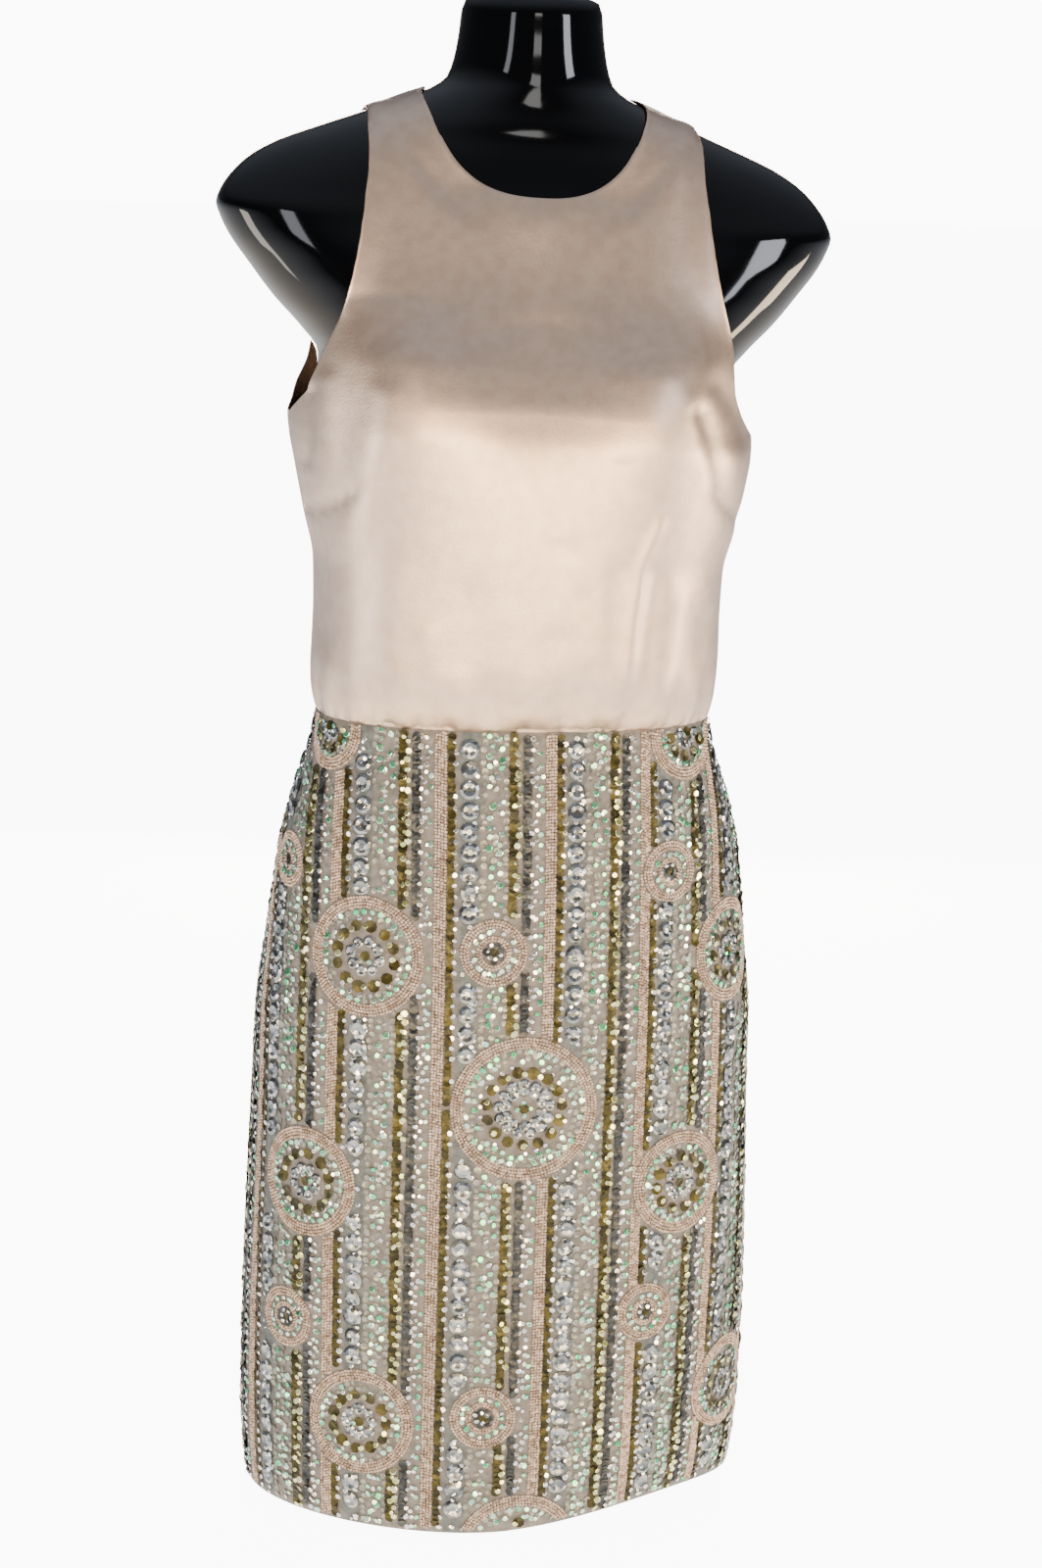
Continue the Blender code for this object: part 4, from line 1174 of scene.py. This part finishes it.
# ---- the zip
COIL_PITCH = 0.8
COIL_SWING = 0.7        # each turn of the coil lies that far to one side of the seam
COIL_WIRE, COIL_WIDTH = 0.6, 2.6
STITCH_PITCH = 3.2
STITCH_INSET = 6.5      # from the seam
THREAD_WIDTH, STITCH_LENGTH = 0.45, 2.3


def rods(name, middles, axes, width, length, used):
    """Short rounded rods, one at each middle and along its axis, joined into one mesh."""
    shape = turned_shape(((0, -0.5), (0.5, -0.4), (0.5, 0.4), (0, 0.5)), 6)
    axes = unit(axes)
    first = unit(np.cross(axes, [0.3, 0.4, 1.0]))
    turns = np.stack([first * width, np.cross(axes, first) * width, axes * length], -1)
    return scattered(name, shape, middles, turns, used)


def evenly(path, spacing):
    """Points that far apart along a path, and the path's direction at each."""
    run = np.concatenate([[0], np.cumsum(np.linalg.norm(np.diff(path, axis=0), axis=-1))])
    at = np.arange(spacing / 2, run[-1], spacing)
    points, ahead = (np.stack([np.interp(places, run, path[:, k]) for k in range(3)], -1)
                     for places in (at, at + 0.5))
    return points, unit(ahead - points + [0, 0, 1e-6])


# the zip's coil lies on its tape, under both edges of the seam
seam_parts = [settled(table, np.full((1, len(places)), HALF_TURN), places[None, :], 0)[0]
              for table, places in ((SKIRT_RINGS, np.linspace(ZIP_LOW_RING, SKIRT_LAST, 60)),
                                    (BODICE_RINGS, np.linspace(0.05, ZIP_TOP_RING, 200)))]
coil, along = evenly(np.concatenate(seam_parts), COIL_PITCH)
outward = unit(np.cross([1.0, 0, 0], along))
swing = np.where(np.arange(len(coil)) % 2, COIL_SWING, -COIL_SWING)[:, None] * [1.0, 0, 0]
rods("zip_coil", coil + outward * -0.1 + swing, np.tile([1.0, 0, 0], (len(coil), 1)), COIL_WIRE,
     COIL_WIDTH, TAPE)

# a row of stitches holds the tape to each back panel
for side, face in (("left", bodice["left"][1][:, ::-1]), ("right", bodice["right"][1])):
    away = edge_distance(face, 0)
    row_path = np.array([[np.interp(STITCH_INSET, away[row], face[row, :, k]) for k in range(3)]
                         for row in range(2, len(face) - 1)])
    stitches, along = evenly(row_path, STITCH_PITCH)
    rods("zip_stitches_" + side, stitches, along, THREAD_WIDTH, STITCH_LENGTH, THREAD)

for node, used in (("zip_chain", TAPE), ("zip_slider", NICKEL), ("zip_pull", NICKEL)):
    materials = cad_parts[node].data.materials
    materials.clear()
    materials.append(used)

# ---- floor, light and camera
FLOOR_REACH = 40.0
FLOOR_DROP = 0.0005     # the floor lies just under the form's base


def studio_floor():
    """A lit white acrylic floor: evenly pale, with faint soft shadows."""
    used, tree, shader = finish("lit_white_acrylic", {
        "Roughness": 0.9, "Emission Color": (1, 1, 1, 1), "Emission Strength": 10.0})
    varied(tree, shader, "#C4C4C4", "#CACACA", 900)
    corners = [(x * FLOOR_REACH, y * FLOOR_REACH, 0) for x, y in ((-1, -1), (1, -1), (1, 1), (-1, 1))]
    floor = new_object("studio_floor", corners, [[(0, 1, 2, 3)]], used)
    floor.location.z = -FLOOR_DROP
    floor.visible_diffuse = False
    floor.visible_glossy = False


def studio_world():
    """The camera sees a white backdrop; the cloth gets a soft glow, strongest from the floor's side."""
    world = bpy.data.worlds.new("studio")
    bpy.context.scene.world = world
    world.use_nodes = True
    sky = world.node_tree
    sky.nodes.clear()
    seen = add(sky, "ShaderNodeLightPath")
    backdrop = add(sky, "ShaderNodeBackground", {"Color": (1, 1, 1, 1), "Strength": 11.0})
    way = add(sky, "ShaderNodeTexCoord")
    height = add(sky, "ShaderNodeSeparateXYZ", links={0: way.outputs["Generated"]}).outputs[2]
    below = add(sky, "ShaderNodeMapRange", {"From Min": 0.1, "From Max": -1.0}, {"Value": height})
    low_glow = add(sky, "ShaderNodeMapRange", {"To Min": 0.09, "To Max": 4.5},
                   {"Value": below.outputs[0]})
    warmth = add(sky, "ShaderNodeMix", {"data_type": "RGBA", 6: tone("#E4EEFF"), 7: tone("#FFEBCB")},
                 {0: below.outputs[0]})
    high_glow = add(sky, "ShaderNodeMapRange", {"From Min": 0.3, "To Max": 0.55}, {"Value": height})
    both = add(sky, "ShaderNodeMath", {"operation": "ADD"},
               {0: low_glow.outputs[0], 1: high_glow.outputs[0]})
    glow = add(sky, "ShaderNodeBackground",
               links={"Color": warmth.outputs[2], "Strength": both.outputs[0]})
    mixed = add(sky, "ShaderNodeMixShader", links={
        0: seen.outputs["Is Camera Ray"], 1: glow.outputs[0], 2: backdrop.outputs[0]})
    add(sky, "ShaderNodeOutputWorld", links={"Surface": mixed.outputs[0]})


# Place, aim, width, height, watts and colour of each softbox; the cards only glint in the shell.
SOFTBOXES = (
    ("front_softbox", (0.0, -2.0, 0.40), (0, 0, 0.66), 3.2, 0.45, 80, "#FFDFB0"),
    ("right_softbox", (2.2, -0.5, 0.3), (0, 0, 0.65), 0.6, 0.5, 25, "#FFE6C2"),
    ("left_softbox", (-2.2, -0.6, 0.3), (0, 0, 0.65), 0.5, 0.8, 12, "#FFF4E8"),
    ("back_softbox", (0.3, 2.0, 0.75), (0, 0, 0.66), 1.2, 1.2, 60, "#FFEAD4"),
    ("left_card", (-0.98, -1.38, 1.26), (-0.15, 0, 0.85), 0.2, 0.3, 0.9, "#F3F6FF"),
    ("right_card", (1.25, -1.10, 1.20), (0.15, 0, 0.85), 0.34, 0.3, 3.8, "#F3F6FF"),
    ("neck_card", (0.10, -1.60, 1.27), (0, 0, 0.95), 0.3, 0.2, 0.9, "#F3F1EF"),
)


def softbox(name, place, aim, wide, tall, watts, colour):
    data = bpy.data.lights.new(name, "AREA")
    data.shape = "RECTANGLE"
    data.size, data.size_y, data.energy = wide, tall, watts
    data.color = tone(colour)[:3]
    lamp = bpy.data.objects.new(name, data)
    bpy.context.scene.collection.objects.link(lamp)
    lamp.location = place
    lamp.rotation_euler = (Vector(aim) - Vector(place)).to_track_quat("-Z", "Y").to_euler()


CAMERA_DISTANCE = 2.1
CAMERA_HEIGHT = 0.91
CAMERA_SHIFT = 0.0085   # how far the camera's axis passes to the left of the origin's
CAMERA_TURN = math.radians(-8.0)
CAMERA_DIP = math.radians(11.3)
CAMERA_ROLL = math.radians(1.8)
LENS = 73.7


def studio_camera():
    sight = Vector((-math.sin(CAMERA_TURN) * math.cos(CAMERA_DIP),
                    math.cos(CAMERA_TURN) * math.cos(CAMERA_DIP), -math.sin(CAMERA_DIP)))
    level = Vector((math.cos(CAMERA_TURN), math.sin(CAMERA_TURN), 0))
    plumb = level.cross(sight)
    right = level * math.cos(CAMERA_ROLL) + plumb * math.sin(CAMERA_ROLL)
    up = plumb * math.cos(CAMERA_ROLL) - level * math.sin(CAMERA_ROLL)
    data = bpy.data.cameras.new("camera")
    data.lens = LENS
    data.sensor_width = 36
    camera = bpy.data.objects.new("camera", data)
    bpy.context.scene.collection.objects.link(camera)
    camera.matrix_world = Matrix((
        (right.x, up.x, -sight.x, CAMERA_SHIFT + CAMERA_DISTANCE * math.sin(CAMERA_TURN)),
        (right.y, up.y, -sight.y, -CAMERA_DISTANCE * math.cos(CAMERA_TURN)),
        (right.z, up.z, -sight.z, CAMERA_HEIGHT),
        (0, 0, 0, 1)))
    bpy.context.scene.camera = camera


studio_floor()
studio_world()
for row in SOFTBOXES:
    softbox(*row)
studio_camera()
